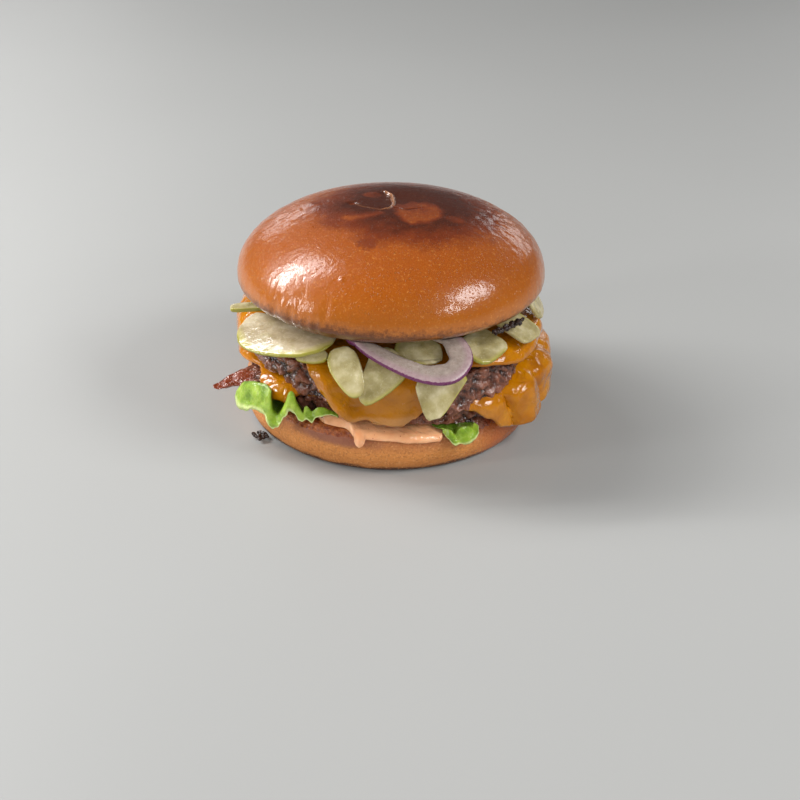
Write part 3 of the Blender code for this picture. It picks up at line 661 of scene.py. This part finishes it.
def shape_top(points, upper):
    """Presses the dent, the torn flap and the crease into the top, and gives the marks of their colours."""
    x, y = points[:, 0], points[:, 1]
    points[:, 2] -= upper * 1.2 * spot(x, y, (3, 5), (9, 9))
    # The flap's edge is a thin raised lip, and the crust steps down inside it
    away, side, share = stroke(x + 0.35 * lumps(points, 1.6, 31), y + 0.35 * lumps(points, 1.6, 32), FLAP)
    strong = ease(share, 0.0, 0.12) * (1 - 0.55 * ease(share, 0.5, 0.62)) * (1 - ease(share, 0.93, 1))
    lifted = strong * np.exp(-(away / (0.36 + 0.16 * near(share * 100, 25, 20))) ** 2)
    step = 0.8 * strong * (side < 0) * ease(away, 0, 0.6) * np.exp(-away / 3.2)
    points[:, 2] += upper * (0.48 * lifted - step)
    hole = spot(x, y, (-13.9, 2.6), (1.5, 1.2))
    folded, _, along = stroke(x, y + 1.1 * lumps(points, 2.6, 33), CREASE)
    folded = np.exp(-(folded / 0.55) ** 2) * (1 - ease(along, 0.8, 1))
    points[:, 2] -= upper * (1.0 * hole + 0.35 * folded)
    wobble = 3.0 * lumps(points, 7, 8) + 1.8 * lumps(points, 2.6, 9)
    scorch = 1.42 - 0.88 * np.hypot((x - 6) / 30, (y - 3) / 27) ** 1.6 - 0.045 * wobble
    for cx, cy, rx, ry, strength in PALE_SPOTS:
        scorch -= strength * (1 - ease(np.hypot((x - cx) / rx, (y - cy) / ry) + 0.07 * wobble, 0.58, 1.04))
    streak = stroke(x, y + 0.25 * wobble, STREAK)[0]
    scorch += 0.5 * folded - 0.45 * np.exp(-(streak / 2.1) ** 2)
    scorch += 0.25 * (side < 0) * strong * np.exp(-away / 1.5)
    stain = 1.2 - np.hypot((x + 7.4) / 5.2, (y + 27.6) / 6.4) + 0.16 * wobble
    return {"burnt": np.clip(scorch * upper, 0, 1), "stain": np.clip(np.maximum(stain, hole), 0, 1) * upper,
            "torn": np.clip(lifted * 0.65, 0, 1) * upper}


def crown_rule(u, v):
    angle = 360 * u - 180
    radius, height = crown_profile(v)
    points = polar(angle, radius, height)
    upper = ease(height, CROWN_WAIST, CROWN_WAIST + 12)
    wrinkle(points, angle, height, upper, v)
    marks = shape_top(points, upper)
    x, y = points[:, 0], points[:, 1]
    points[:, 2] -= y * math.sin(CROWN_TILT)
    points[:, 2] += 0.65 * spot(x, y, (-15.9, -42.9), (0.7, 0.7)) * upper
    lip = (1 - ease(height, 49.0, 59.5)) * (0.86 + 0.40 * near(angle, -24, 30) - 0.22 * near(angle, 40, 22))
    marks["lip"] = lip + 0.5 * (1 - ease(height, 47.8, 50.2))
    # The level is 0 at the cut, 0.2 at the waist and 1 at the top
    marks["level"] = np.where(v < DOME_END, (height - CROWN_WAIST) / CROWN_RISE * 0.8 + 0.2,
                              0.2 * (height - CROWN_CUT_Z) / (CROWN_WAIST - CROWN_CUT_Z))
    return points, marks


def heel_rule(u, v):
    angle = 360 * u - 180
    shares, radii, heights = zip(*HEEL_PROFILE)
    radius, height = np.interp(v, shares, radii), np.interp(v, shares, heights)
    side = ease(height, 0.0, 1.5) * ease(radius, 45, 50)
    points = polar(angle, radius, height)
    points[:, :2] *= (1 + side * (0.005 * lumps(points, 26, 3) + 0.002 * lumps(points, 7, 4)))[:, None]
    points[:, 2] += ease(height, 12, 15) * ease(radius, 44, 49) * (0.30 * lumps(points, 5, 5) - 0.1)
    points[:, 2] -= height / HEEL_TOP * dip(angle, radius)
    caramel = near(angle, -27, 17) + 0.5 * near(angle, -50, 10)
    return points, {"level": height / HEEL_TOP,
                    "wet": ease(height, 11.0, 13.6) * caramel + 0.35 * ease(height, 14.6, 15.4),
                    "smear": ease(height, 7.0, 11.5) * near(angle, -22, 20) * 1.1,
                    "soaked": near(angle, 56, 17) * side + ease(radius, 47, 50) * 0.3 * near(angle, 56, 30)}


# Beef

# How far the torn lower edge of a patty hangs down where no cheese covers it: (angle, mm)
UPPER_SKIRT = [(-180, 0.8), (-90, 0.8), (-68, 0.5), (-56, 0.3), (-44, 0.4), (-34, 1.9), (-25, 1.9),
               (-16, 0.6), (8, 0.8), (20, 3.4), (36, 3.2), (50, 2.2), (64, 0.6), (110, 0.8)]
LOWER_SKIRT = [(-180, 0.6), (-72, 0.2), (-46, 0.6), (-36, 1.6), (-25, 2.0), (-14, 0.6), (2, 0.4), (16, 1.2),
               (30, 2.2), (42, 4.2), (50, 0.8), (70, 0.0), (120, 0.5)]


def mince(points, seed):
    """The relief of minced meat: 0 in the cracks and about 1 on the grains."""
    warped = points + 1.6 * shake(points, 3.2, seed + 20)
    relief = 0.36 * grains(warped * (1, 1, 1.5), 7.0, seed)
    relief += 0.16 * grains(warped * (1, 1, 1.3), 3.4, seed + 5)
    relief += 0.26 + 0.17 * lumps(points, 3.6, seed + 9) + 0.13 * lumps(points, 1.8, seed + 10)
    return relief + 0.07 * lumps(points, 0.95, seed + 11) + 0.08 * lumps(points, 9, seed)


def draw_lace(points, angle, side, low, level):
    """Draws the crisp lace out of the rim, flattens it, and gives its strength."""
    lace = near(angle, CRISP["angle"], CRISP["spread"]) * side
    points += polar(angle, CRISP["reach"] * lace * (1 + 0.14 * lumps(points, 2.0, 40)), 0)
    thin = low + CRISP["lift"] + level * 2.6 * (1.25 - lace) - CRISP["droop"] * lace
    thin += 0.7 * lumps(points, 2.2, 41)
    thin += 0.35 * lumps(points, 1.1, 42)
    points[:, 2] += ease(lace, 0, 0.2) * (thin - points[:, 2])
    return lace


def patty_rule(levels, layer, sags, skirt, crisp, seed):
    """The rule of a smashed patty: a disc with a rounded rim, torn into grains, with or without the lace."""
    floor, top = levels
    hem = layer["hem"]

    def rule(u, v):
        angle = 360 * u - 180
        flat = ring(layer["rim"], angle) - RIM_ROUND
        # Rows: the hidden top, a visible margin of it, the rim, and the same below
        turn = math.pi * np.clip((v - 0.2) / 0.6, 0, 1)
        inner = np.interp(v, [0, 0.05, 0.2, 0.8, 0.95, 1], [0, 0.72, 1, 1, 0.72, 0])
        round_rim = (v > 0.2) & (v < 0.8)
        hang = ring(skirt, angle)
        rag = 1 + 0.7 * lumps(polar(angle, 50, 0), 5.5, seed + 3)
        low_half = ease(turn, 0.42 * math.pi, 0.78 * math.pi) * (1 - ease(turn, 0.8 * math.pi, math.pi))
        radius = np.where(round_rim, flat + RIM_ROUND * np.sin(turn), inner * flat)
        radius = radius + low_half * np.minimum(1, hang / 2.5) * (RIM_ROUND * (1 - np.sin(turn)) + 1.9)
        level = 0.5 + 0.5 * np.cos(turn)
        low = floor - sags[0] * sag(angle, np.minimum(radius, SAG_END)) - (dip(angle, radius) if crisp else 0)
        high = top - sags[1] * sag(angle, np.minimum(radius, SAG_END))
        points = polar(angle, radius, low + (high - low) * level - low_half * hang * rag)
        relief = mince(points, seed)
        bare = 1 - ease(points[:, 2], ring(hem, angle) - 1.5, ring(hem, angle) + 0.5)
        out = np.stack([np.sin(turn) * np.sin(np.radians(angle)), -np.sin(turn) * np.cos(np.radians(angle)),
                        np.cos(turn)], axis=-1)
        push = (relief - 0.62) * 4.2
        push = np.where(push > 0, push * (0.15 + 0.85 * bare), push)
        points += out * (push * ease(radius, 38, 44))[:, None]
        side = np.sin(turn) ** 0.5 * ease(radius, flat - 2, flat + 1)
        lace = draw_lace(points, angle, side, low, level) if crisp else 0 * angle
        torn = 0.75 * near(angle, 42, 6) * low_half if crisp else 0.3 * near(angle, -56, 12)
        # The depth mark is the relief, which the beef paint turns into painted shade in the cracks
        return points, {"depth": np.clip(relief, 0, 1), "crisp": np.clip(lace * 1.6 + torn, 0, 1)}

    return rule


# Cheese

# The share of a slice's rows that are on its upper face
UPPER_FACE = 0.66


def folds(angle, height, layer):
    """How far melted folds stand out of a hanging sheet, in mm."""
    if layer is LOWER_LAYER:
        slant = angle + (height - 20) * 0.35
        lobes = bumps(slant, (1.2, 41, 5), (1.5, 56, 6), (1.2, 75, 6))
        creases = bumps(slant, (1.7, 48.5, 1.7), (1.4, 66, 1.8), (0.9, 84, 2))
        return lobes - creases + bumps(angle, (0.8, 93, 6), (0.7, 118, 8), (1.3, -46, 4)) - 0.5
    return bumps(angle, (2.6, -20 + (30 - height) * 0.8, 3.4), (0.9, 2, 6), (0.6, -70, 5),
                 (-0.5, -9 + (26 - height) * 0.4, 4), (-0.5, 9, 2.5), (0.5, 60, 5))


def sheet_middle(angle, along, layer):
    """The middle surface of a melted slice, in mm."""
    clear = CHEESE_CLEAR + layer["thick"] / 2
    radius, height = drape(angle, along, layer, clear)
    flat = ring(layer["rim"], angle) - RIM_ROUND
    hang = ease(radius, flat + 2, flat + RIM_ROUND + clear)
    radius = radius + hang * (ring(layer["belly"], angle) + folds(angle, height, layer))
    # Where it hangs as low as the heel, it stays outside the heel
    least = HEEL_RADIUS + 1.1 + layer["thick"] / 2 - 2.5 * ease(height, HEEL_TOP + 1, HEEL_TOP + 5)
    radius = np.where(height < HEEL_TOP + 5, np.maximum(radius, least), radius)
    points = polar(angle, radius, height)
    soft = 0.60 * lumps(points, 7, layer["seed"]) + 0.26 * lumps(points, 3.2, layer["seed"] + 1)
    points[:, :2] *= (1 + hang * soft / 52)[:, None]
    points[:, 2] += (1 - hang) * soft * 0.8
    return points


def sheet_normal(angle, along, layer):
    """The direction of a melted slice's upper face."""
    ahead = sheet_middle(angle, along + 0.15, layer) - sheet_middle(angle, along - 0.15, layer)
    aside = sheet_middle(angle + 0.2, along, layer) - sheet_middle(angle - 0.2, along, layer)
    normal = np.cross(ahead, aside)
    normal[along < 0.5] = (0, 0, 1)
    normal /= np.maximum(np.linalg.norm(normal, axis=1), 1e-9)[:, None]
    faces_out = np.einsum("ij,ij->i", normal, polar(angle, 1, 0) + (0, 0, 1))
    return normal * np.where(faces_out < 0, -1, 1)[:, None]


def cheese_rule(layer):
    """The rule of a melted slice: v runs from the middle of its upper face to its edge, and back below."""
    upper = layer is UPPER_LAYER

    def rule(u, v):
        angle = 360 * u - 180
        outer = v < UPPER_FACE
        share = np.where(outer, v / UPPER_FACE, (1 - v) / (1 - UPPER_FACE))
        around = polar(angle, 50, 0)
        length = drape_length(angle, layer, CHEESE_CLEAR + layer["thick"] / 2)
        length += 0.9 * lumps(around, 9, layer["seed"] + 3)
        length += 0.6 * lumps(around, 3.5, layer["seed"] + 4)
        start = np.minimum(ring(layer["rim"], angle) - RIM_ROUND, length) - 6.0
        local = np.clip((share - 0.08) / 0.92, 0, 1)
        fine = start + (length - start) * (1 - (1 - local) ** 1.6)
        along = np.where(share < 0.08, share / 0.08 * start, fine)
        middle = sheet_middle(angle, along, layer)
        # The melted edge is a rounded bead a little thicker than the sheet
        hang = ease(along, start + 8, start + 16)
        bead = 0.35 + (0.5 * near(angle, -26, 12) if upper else 0.35 * near(angle, -48, 12))
        half = layer["thick"] / 2 * (1 + bead * hang * ease(along, length - 6, length - 1.5))
        rest = np.clip((length - along) / half, 0, 1)
        half = half * np.sqrt(1 - (1 - rest) ** 2)
        points = middle + sheet_normal(angle, along, layer) * (half * np.where(outer, 1, -1))[:, None]
        tail = ease(22.9 + 0.5 * lumps(around, 6, 9) - middle[:, 2], -0.5, 0.8)
        thin = near(angle, 2, 15) * tail * 0.85 if upper else 0.4 * near(angle, 36, 5)
        # Where the upper slice gets painted shade: the front of its hanging part, under the crown
        deep = 0.6 * near(angle, -4, 26) * hang if upper else 0 * hang
        return points, {"thin": thin * hang, "deep": deep}

    return rule


# Sauce, leaves and slices

# By angle: how low the sauce hangs over the heel's edge, with its drip at about -10 degrees
SAUCE_HEM = [(-180, 14.8), (-40, 15.4), (-17, 15.2), (-12.6, 14.6), (-12.1, 12.0), (-11.4, 10.9),
             (-10.3, 10.4), (-9.2, 10.9), (-8.5, 12.0), (-8.0, 14.0), (-5.5, 14.4), (2, 13.4), (8, 12.5),
             (14, 12.1), (20.8, 12.3), (24, 12.8), (34, 13.2), (60, 13.6), (90, 14.2)]
# Where the pool bulges: how far, at which angle, and over what half width
SAUCE_POOLS = [(6.4, -23, 11), (6.8, 8, 17), (3.0, -75, 16), (4.0, 90, 20), (4.5, 170, 24), (4.0, -130, 16)]
SAUCE_REACH = 44.5
SAUCE_HIDDEN = 38


def sauce_rule(u, v):
    """A pool on the heel's cut face that bulges on the left and runs over the edge at the front."""
    spread = 2 * u - 1
    angle = -6 + 180 * (0.35 * spread + 0.65 * spread ** 3)
    outer = v < 0.7
    share = np.where(outer, v / 0.7, (1 - v) / 0.3)
    reach = SAUCE_REACH + bumps(angle, *SAUCE_POOLS)
    reach = np.minimum(HEEL_RADIUS - 2, reach + 1.2 * lumps(polar(angle, 50, 0), 9, 5))
    over = ease(angle, -19, -11.5) * (1 - ease(angle, 19, 26))
    reach = np.maximum(reach, 51.2 * over)
    corner, edge = 1.3, HEEL_RADIUS + 0.25
    drop = np.maximum(0, HEEL_TOP - dip(angle, SAG_END) - ring(SAUCE_HEM, angle)) * over
    length = reach + over * (edge - reach + corner * 0.57) + np.maximum(0, drop - corner)
    local = np.clip((share - 0.1) / 0.9, 0, 1)
    fine = SAUCE_HIDDEN + (length - SAUCE_HIDDEN) * (1 - (1 - local) ** 1.6)
    along = np.where(share < 0.1, share / 0.1 * SAUCE_HIDDEN, fine)
    turn = np.clip((along - (edge - corner)) / corner, 0, math.pi / 2) * (over > 0.02)
    radius = np.where(turn > 0, edge - corner + corner * np.sin(turn), along)
    past = np.maximum(0, along - edge + corner - corner * math.pi / 2) * (over > 0.02)
    below = corner * (1 - np.cos(turn)) + past
    height = HEEL_TOP + 0.05 - dip(angle, radius) - below
    blob = near(angle, -23, 7.5) * ease(radius, 42, 48)
    swollen = 1.5 + 3.0 * blob + (0.4 + 0.4 * blob) * lumps(polar(angle, along, 0), 5, 7)
    hangs = ease(below, 0, 1.5)
    thick = swollen * (1 - hangs) + (1.1 + 1.0 * near(angle, -10.2, 1.5)) * hangs
    rest = np.clip((length - along) / (thick * 0.6), 0, 1)
    thick = thick * np.sqrt(1 - (1 - rest) ** 2)
    lift = np.where(outer, thick, 0.02 * thick)
    return polar(angle, radius + lift * np.sin(turn), height + lift * np.cos(turn)), {}


def curve(spots, t):
    """A smooth line through spots given as (angle, radius, height), at t from 0 to 1."""
    knots = np.array([polar(*place) for place in spots])
    padded = np.vstack([2 * knots[0] - knots[1], knots, 2 * knots[-1] - knots[-2]])
    place = np.clip(t, 0, 1) * (len(knots) - 1)
    k = np.minimum(place.astype(int), len(knots) - 2)
    f = (place - k)[:, None]
    a, b, c, d = (padded[k + i] for i in range(4))
    bent, turned = 2 * a - 5 * b + 4 * c - d, 3 * b - a - 3 * c + d
    return 0.5 * (2 * b + (c - a) * f + bent * f ** 2 + turned * f ** 3)


def leaf_piece(name, folds_at, base_from, base_to, finish):
    """A frill of lettuce: a thin sheet from an arc under the patty, over a ridge, and down to its margin.

    folds_at holds pairs of (angle, radius, height), one on the ridge and one on the margin, from the left.
    """
    def rule(u, v):
        base_angle = base_from + (base_to - base_from) * u
        base = polar(base_angle, 48.8, 18.3 - dip(base_angle, 48.8))
        ridge, margin = curve([pair[0] for pair in folds_at], u), curve([pair[1] for pair in folds_at], u)
        rise, fall = np.clip(v / 0.6, 0, 1)[:, None], np.clip((v - 0.6) / 0.4, 0, 1)[:, None]
        belly = (base + ridge) / 2 + polar(base_angle, 0.6, -0.8)
        crest = ridge + 0.30 * (ridge - belly)
        up = (1 - rise) ** 2 * base + 2 * rise * (1 - rise) * belly + rise ** 2 * ridge
        down = (1 - fall) ** 2 * ridge + 2 * fall * (1 - fall) * crest + fall ** 2 * margin
        points = np.where(v[:, None] < 0.6, up, down)
        points += 0.55 * v[:, None] ** 2 * shake(points, 2.8, 3)
        points += 0.22 * v[:, None] ** 3 * shake(points, 1.2, 6)
        on_ridge = np.exp(-((v - 0.6) / 0.028) ** 2)
        # The margin mark rises from the base to the edge: its low values get painted shade, its high values
        # the pale margin and ridge line
        return points, {"margin": np.maximum(0.85 * v + 0.15 * ease(v, 0.93, 1), on_ridge)}

    piece = grid_piece(name, 18 * len(folds_at), 56, rule, closed=False)
    solid = piece.modifiers.new("thickness", "SOLIDIFY")
    solid.thickness = LEAF_THICK * MM
    solid.offset = 0
    bpy.ops.object.modifier_apply(modifier=solid.name)
    dress(piece, finish, "lettuce")
    return piece


# Each frill's ridge and margin from left to right, as (angle, radius, height)
LEFT_LEAF = [((-72, 53, 18.8), (-72, 55, 17.5)), ((-63, 57.6, 20.5), (-62.5, 60.2, 18.6)),
             ((-58.5, 59.0, 23.0), (-60.5, 62.3, 17.0)), ((-54.5, 58.8, 25.2), (-57.5, 62.8, 15.2)),
             ((-50.5, 58.2, 26.2), (-53.5, 62.4, 15.4)), ((-47, 57.8, 26.8), (-49.5, 61.6, 17.2)),
             ((-44.2, 58.2, 26.0), (-46, 61.0, 17.6)), ((-43.4, 59.0, 22.8), (-43.4, 61.0, 14.6)),
             ((-42.4, 58.8, 19.0), (-41.7, 60.4, 12.4)), ((-40.2, 58.0, 18.6), (-39.4, 59.6, 14.6)),
             ((-37.8, 57.4, 23.6), (-37.0, 59.2, 18.4)), ((-36.6, 57.0, 27.6), (-35.4, 58.6, 21.4)),
             ((-35.0, 56.6, 27.6), (-33.9, 58.0, 20.8)), ((-33.9, 56.0, 23.4), (-33.2, 57.2, 18.2)),
             ((-32.0, 55.2, 20.4), (-31.6, 56.2, 17.4)), ((-30.8, 54.6, 22.8), (-30.0, 55.8, 18.8)),
             ((-28.8, 54.0, 21.0), (-28.2, 55.2, 17.8)), ((-26.8, 53.2, 22.6), (-26.4, 54.4, 19.8)),
             ((-23.5, 52.0, 22.4), (-23.2, 53.2, 20.8)), ((-20, 50.4, 20.0), (-20, 51.4, 19.4))]
RIGHT_LEAF = [((20.6, 52.0, 16.4), (20.8, 53.0, 15.2)), ((22.0, 53.8, 16.6), (22.2, 55.4, 13.4)),
              ((23.2, 54.8, 16.4), (23.6, 56.8, 11.6)), ((24.8, 55.0, 14.6), (25.6, 57.0, 11.8)),
              ((26.6, 55.8, 17.2), (27.8, 57.8, 11.2)), ((29.4, 55.8, 17.0), (30.6, 57.6, 12.4)),
              ((31.6, 55.2, 16.0), (32.6, 56.8, 13.8)), ((34.5, 52.6, 15.6), (35.0, 54.0, 14.8))]


def back_folds(low, high, count):
    """Ridge and margin of a plain wavy frill between two angles."""
    pairs = []
    for i in range(count):
        angle = low + (high - low) * i / (count - 1)
        out = math.sin(math.pi * i / (count - 1)) ** 0.5
        wave = math.sin(i * math.pi / 2 + 0.4)
        pairs.append(((angle, 50.5 + 4.4 * out, 19.6 + 3.4 * out * wave),
                      (angle + 1.1 * math.cos(i * 2.2), 51.5 + 5.4 * out, 17.8 + 2.6 * out * (wave - 0.5))))
    return pairs


def slope_of(spec):
    """The outward direction of a slice and the direction of its upper face."""
    pitch = math.radians(spec.pitch)
    out = polar(spec.at[0], 1, 0)
    return out, out * math.sin(pitch) + np.array([0, 0, math.cos(pitch)])


def superellipse(turn, power):
    """The two coordinates of a rounded outline at this turn, from -1 to 1."""
    return (np.sign(side) * np.abs(side) ** power for side in (np.cos(turn), np.sin(turn)))


def placed(spec, x, y, lift, half):
    """Points of a flat slice, curled across the rim, pitched outwards and fitted into the stack."""
    turn, pitch = math.radians(spec.turn), math.radians(spec.pitch)
    x, y = x * math.cos(turn) - y * math.sin(turn), x * math.sin(turn) + y * math.cos(turn)
    bend = math.radians(spec.curl) / CURL_SPAN or 1e-6
    drop = (1 - np.cos(bend * y)) / bend
    y = np.sin(bend * y) / bend
    out, normal = slope_of(spec)
    along = np.array([-out[1], out[0], 0])
    up_slope = np.array([0, 0, math.sin(pitch)]) - out * math.cos(pitch)
    middle = out * spec.at[1] + (0, 0, spec.at[2])
    middle = middle + np.outer(x, along) + np.outer(y, up_slope) - np.outer(drop, normal)
    return fit_between(middle, half) + np.outer(lift, normal)


def slice_rule(spec, seed):
    """The rule of a pickle slice: v runs from the middle of the top, over the rim, to the middle below."""
    def rule(u, v):
        turn = 2 * math.pi * u
        over = math.pi * np.clip((v - 0.36) / 0.28, 0, 1)
        face = np.where(v > 0.64, (1 - v) / 0.36 * 0.94, 0.94 + 0.06 * np.sin(over))
        share = np.where(v < 0.36, v / 0.36 * 0.94, face)
        length, width = spec.size
        edge = np.stack([np.cos(turn), np.sin(turn), 0 * turn], axis=-1) * 6
        ragged = 1 + 0.030 * lumps(edge, 2.2, seed) + 0.012 * lumps(edge, 0.8, seed + 3)
        x, y = superellipse(turn, 2 / spec.square)
        x, y = length / 2 * x * ragged, width / 2 * y * ragged
        low = np.maximum(0, 0.3 - y / width)
        x = x * (1 - spec.taper * low) + spec.skew * low * length
        inner = width * (0.5 - spec.cut)
        y = np.minimum(y, inner)
        flat = np.stack([x * share, y * share, 0 * x], axis=-1)
        wave = 0.30 * lumps(flat, 6, seed) + 0.12 * lumps(flat, 2.2, seed + 1)
        lift = np.cos(over) * SLICE_THICK / 2 * (1 - 0.25 * share ** 4) + wave * 0.45
        points = placed(spec, x * share, y * share, 0 * x, SLICE_THICK / 2)
        points += np.outer(lift, slope_of(spec)[1])
        # The rind is on the outside of the slice, away from a cut side
        rind = share * np.where(y > inner - 0.01, 0.8, 1)
        facing = np.cos(turn - math.radians(spec.rind)) + 0.3 * lumps(flat, 5, seed + 2)
        rind *= 0.80 + 0.20 * ease(facing, -0.1, 0.5)
        return points, {"rind": rind, "olive": spec.olive + 0 * rind}

    return rule


def onion_rule(u, v):
    """v goes once round the ring's section, from the middle of its outer skin over the top."""
    turn = 2 * math.pi * u
    around = 2 * math.pi * v
    share = 0.5 - 0.5 * np.sign(np.cos(around)) * np.abs(np.cos(around)) ** 0.55
    level = 0.5 * np.sign(np.sin(around)) * np.abs(np.sin(around)) ** 0.7
    rough = lumps(np.stack([np.cos(turn), np.sin(turn), 0 * turn], axis=-1) * 9, 3, 4)
    band = ONION_BAND + ONION_LOPSIDED * np.cos(turn) + 0.8 * rough * share
    x, y = superellipse(turn, 2 / ONION.square)
    x, y = (ONION.size[0] / 2 - band * share) * x, (ONION.size[1] / 2 - band * share) * y
    thick = ONION_THICK * (1 + 0.1 * lumps(np.stack([x, y, 0 * x], axis=-1), 6, 5))
    return placed(ONION, x, y, thick * level, ONION_THICK / 2), {"skin": 1 - share}


def crumbs(count, start, run, scatter, waves):
    """Places for crumbs, as (angle, radius, height): a run from the start, scattered outwards and upwards."""
    return [(start[0] + run[0] * k / (count - 1), start[1] + scatter[0] * math.sin(k * waves[0]),
             start[2] + run[1] * k / (count - 1) + scatter[1] * math.cos(k * waves[1])) for k in range(count)]


def char_cluster(name, spots, size, finish):
    """Charred crumbs, melted together and roughened, with their middles at these spots."""
    bits = []
    for k, place in enumerate(spots):
        radius = size * (0.75 + 0.5 * hashed(np.array([[k, 1, 2]]), 7)[0])
        bpy.ops.object.select_all(action="DESELECT")
        bpy.ops.mesh.primitive_ico_sphere_add(subdivisions=3, radius=radius * MM, location=polar(*place) * MM)
        bpy.ops.object.transform_apply(location=True, rotation=False, scale=False)
        bits.append(bpy.context.object)
    bpy.ops.object.select_all(action="DESELECT")
    for bit in bits:
        bit.select_set(True)
    bpy.context.view_layer.objects.active = bits[0]
    bpy.ops.object.join()
    piece = bpy.context.object
    piece.name = piece.data.name = name
    melt = piece.modifiers.new("melt", "REMESH")
    melt.mode = "VOXEL"
    melt.voxel_size = CRUMB_VOXEL * MM
    bpy.ops.object.modifier_apply(modifier=melt.name)
    points = coordinates(piece) * 1000
    move_to(piece, points + 0.28 * shake(points, 0.8, 1))
    bpy.ops.object.shade_smooth()
    dress(piece, finish, "browned_beef")


# Stage

def area_light(name, azimuth, elevation, distance, size, power, roll):
    light = bpy.data.lights.new(name, "AREA")
    light.shape = "RECTANGLE"
    light.size, light.size_y = size
    light.energy = power
    holder = bpy.data.objects.new(name, light)
    bpy.context.scene.collection.objects.link(holder)
    a, e = math.radians(azimuth), math.radians(elevation)
    away = Vector((math.sin(a) * math.cos(e), -math.cos(a) * math.cos(e), math.sin(e)))
    holder.location = Vector(LIGHT_AIM) + away * distance
    turned = (-away).to_track_quat("-Z", "Y") @ Quaternion((0, 0, 1), math.radians(roll))
    holder.rotation_euler = turned.to_euler()
    return holder


def stage():
    """A pale floor, softboxes and kickers at the sides, rim lights behind, a front fill and a dim sky."""
    bpy.ops.object.select_all(action="DESELECT")
    bpy.ops.mesh.primitive_plane_add(size=6, location=(0, 0, -0.0002))
    floor = bpy.context.object
    floor.name = "floor"
    p = Paint("pale_floor")
    tone = p.ramp(p.noise(400, 2), (0.3, (0.35, 0.35, 0.34)), (0.7, (0.38, 0.38, 0.37)))
    floor.data.materials.append(p.finish(tone, 0.5))
    for name, settings in LIGHTS.items():
        light = area_light(name, *settings)
        # The fill only lights the shadows: it isn't mirrored in the glaze
        light.visible_glossy = name != "front_fill"
    world = bpy.data.worlds.new("studio")
    world.use_nodes = True
    sky = world.node_tree.nodes["Background"].inputs
    sky["Color"].default_value = (0.95, 0.97, 1.0, 1)
    sky["Strength"].default_value = 0.085
    bpy.context.scene.world = world
    bpy.context.scene.view_settings.view_transform = "Standard"


def camera():
    """The camera, placed and rolled so that the burger is seen as in the photograph."""
    forward = Vector((0, math.cos(VIEW_ELEVATION), -math.sin(VIEW_ELEVATION)))
    level = Vector((1, 0, 0))
    upward = level.cross(forward)
    right = level * math.cos(VIEW_ROLL) + upward * math.sin(VIEW_ROLL)
    up = upward * math.cos(VIEW_ROLL) - level * math.sin(VIEW_ROLL)
    place = (Vector(VIEW_AIM) - forward * VIEW_DISTANCE) * 0.001
    lens = bpy.data.cameras.new("camera")
    lens.sensor_width = 36
    lens.lens = VIEW_LENS
    lens.shift_x, lens.shift_y = VIEW_SHIFT
    lens.clip_start = 0.01
    holder = bpy.data.objects.new("camera", lens)
    bpy.context.scene.collection.objects.link(holder)
    holder.matrix_world = Matrix(((right.x, up.x, -forward.x, place.x), (right.y, up.y, -forward.y, place.y),
                                  (right.z, up.z, -forward.z, place.z), (0, 0, 0, 1)))
    bpy.context.scene.camera = holder


def build():
    """Makes every piece and gives it its paint and the solid that it stands for."""
    cheese, beef, pickle, leaf = cheese_paint(), beef_paint(), pickle_paint(), leaf_paint()
    lower_sags, upper_sags = (SAG_LEAF, SAG_LOWER_TOP), (SAG_UPPER_FLOOR, SAG_UPPER_TOP)
    lower_patty = patty_rule(LOWER_PATTY, LOWER_LAYER, lower_sags, LOWER_SKIRT, True, 11)
    upper_patty = patty_rule(UPPER_PATTY, UPPER_LAYER, upper_sags, UPPER_SKIRT, False, 12)
    stack = [("heel", 420, 84, heel_rule, heel_paint(), "bun_crumb_crust", "bun_heel"),
             ("sauce_pool", 560, 56, sauce_rule, sauce_paint(), "burger_sauce", "sauce"),
             ("beef_lower", 640, 76, lower_patty, beef, "browned_beef", "patty_lower"),
             ("beef_upper", 720, 84, upper_patty, beef, "browned_beef", "patty_upper"),
             ("melt_lower", 560, 96, cheese_rule(LOWER_LAYER), cheese, "melted_cheddar", "cheese_lower"),
             ("melt_upper", 560, 96, cheese_rule(UPPER_LAYER), cheese, "melted_cheddar", "cheese_upper")]
    for name, across, rows, rule, finish, slot, node in stack:
        dress(grid_piece(name, across, rows, rule), finish, slot, node)
    left = leaf_piece("lettuce_left", LEFT_LEAF, -74, -20, leaf)
    leaf_piece("lettuce_right", RIGHT_LEAF, 18, 36, leaf)
    leaf_piece("lettuce_back", back_folds(140, 208, 17), 140, 208, leaf)
    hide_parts("lettuce_leaf")
    for k, (name, spec) in enumerate(PICKLES.items()):
        piece = grid_piece(name.replace("pickle", "gherkin"), 130, 34, slice_rule(spec, 50 + k))
        dress(piece, pickle, "pickle", name)
    dress(grid_piece("onion", 260, 44, onion_rule), onion_paint(), "red_onion", "onion_ring")
    dress(grid_piece("crown", 480, 204, crown_rule), crust_paint(), "glazed_crust", "bun_crown")
    char = char_paint()
    lip = crumbs(56, (41.5, 53.4, 49.2), (17, -1.2), (0.7, 0.5), (2.4, 1.9))
    foot = crumbs(18, (-53.5, 55.2, 1.15), (-5, 0), (1.8, 0.3), (2.2, 1.7))
    char_cluster("charred_lip", lip, 0.58, char)
    char_cluster("charred_foot", foot, 0.6, char)
    stage()
    camera()


build()
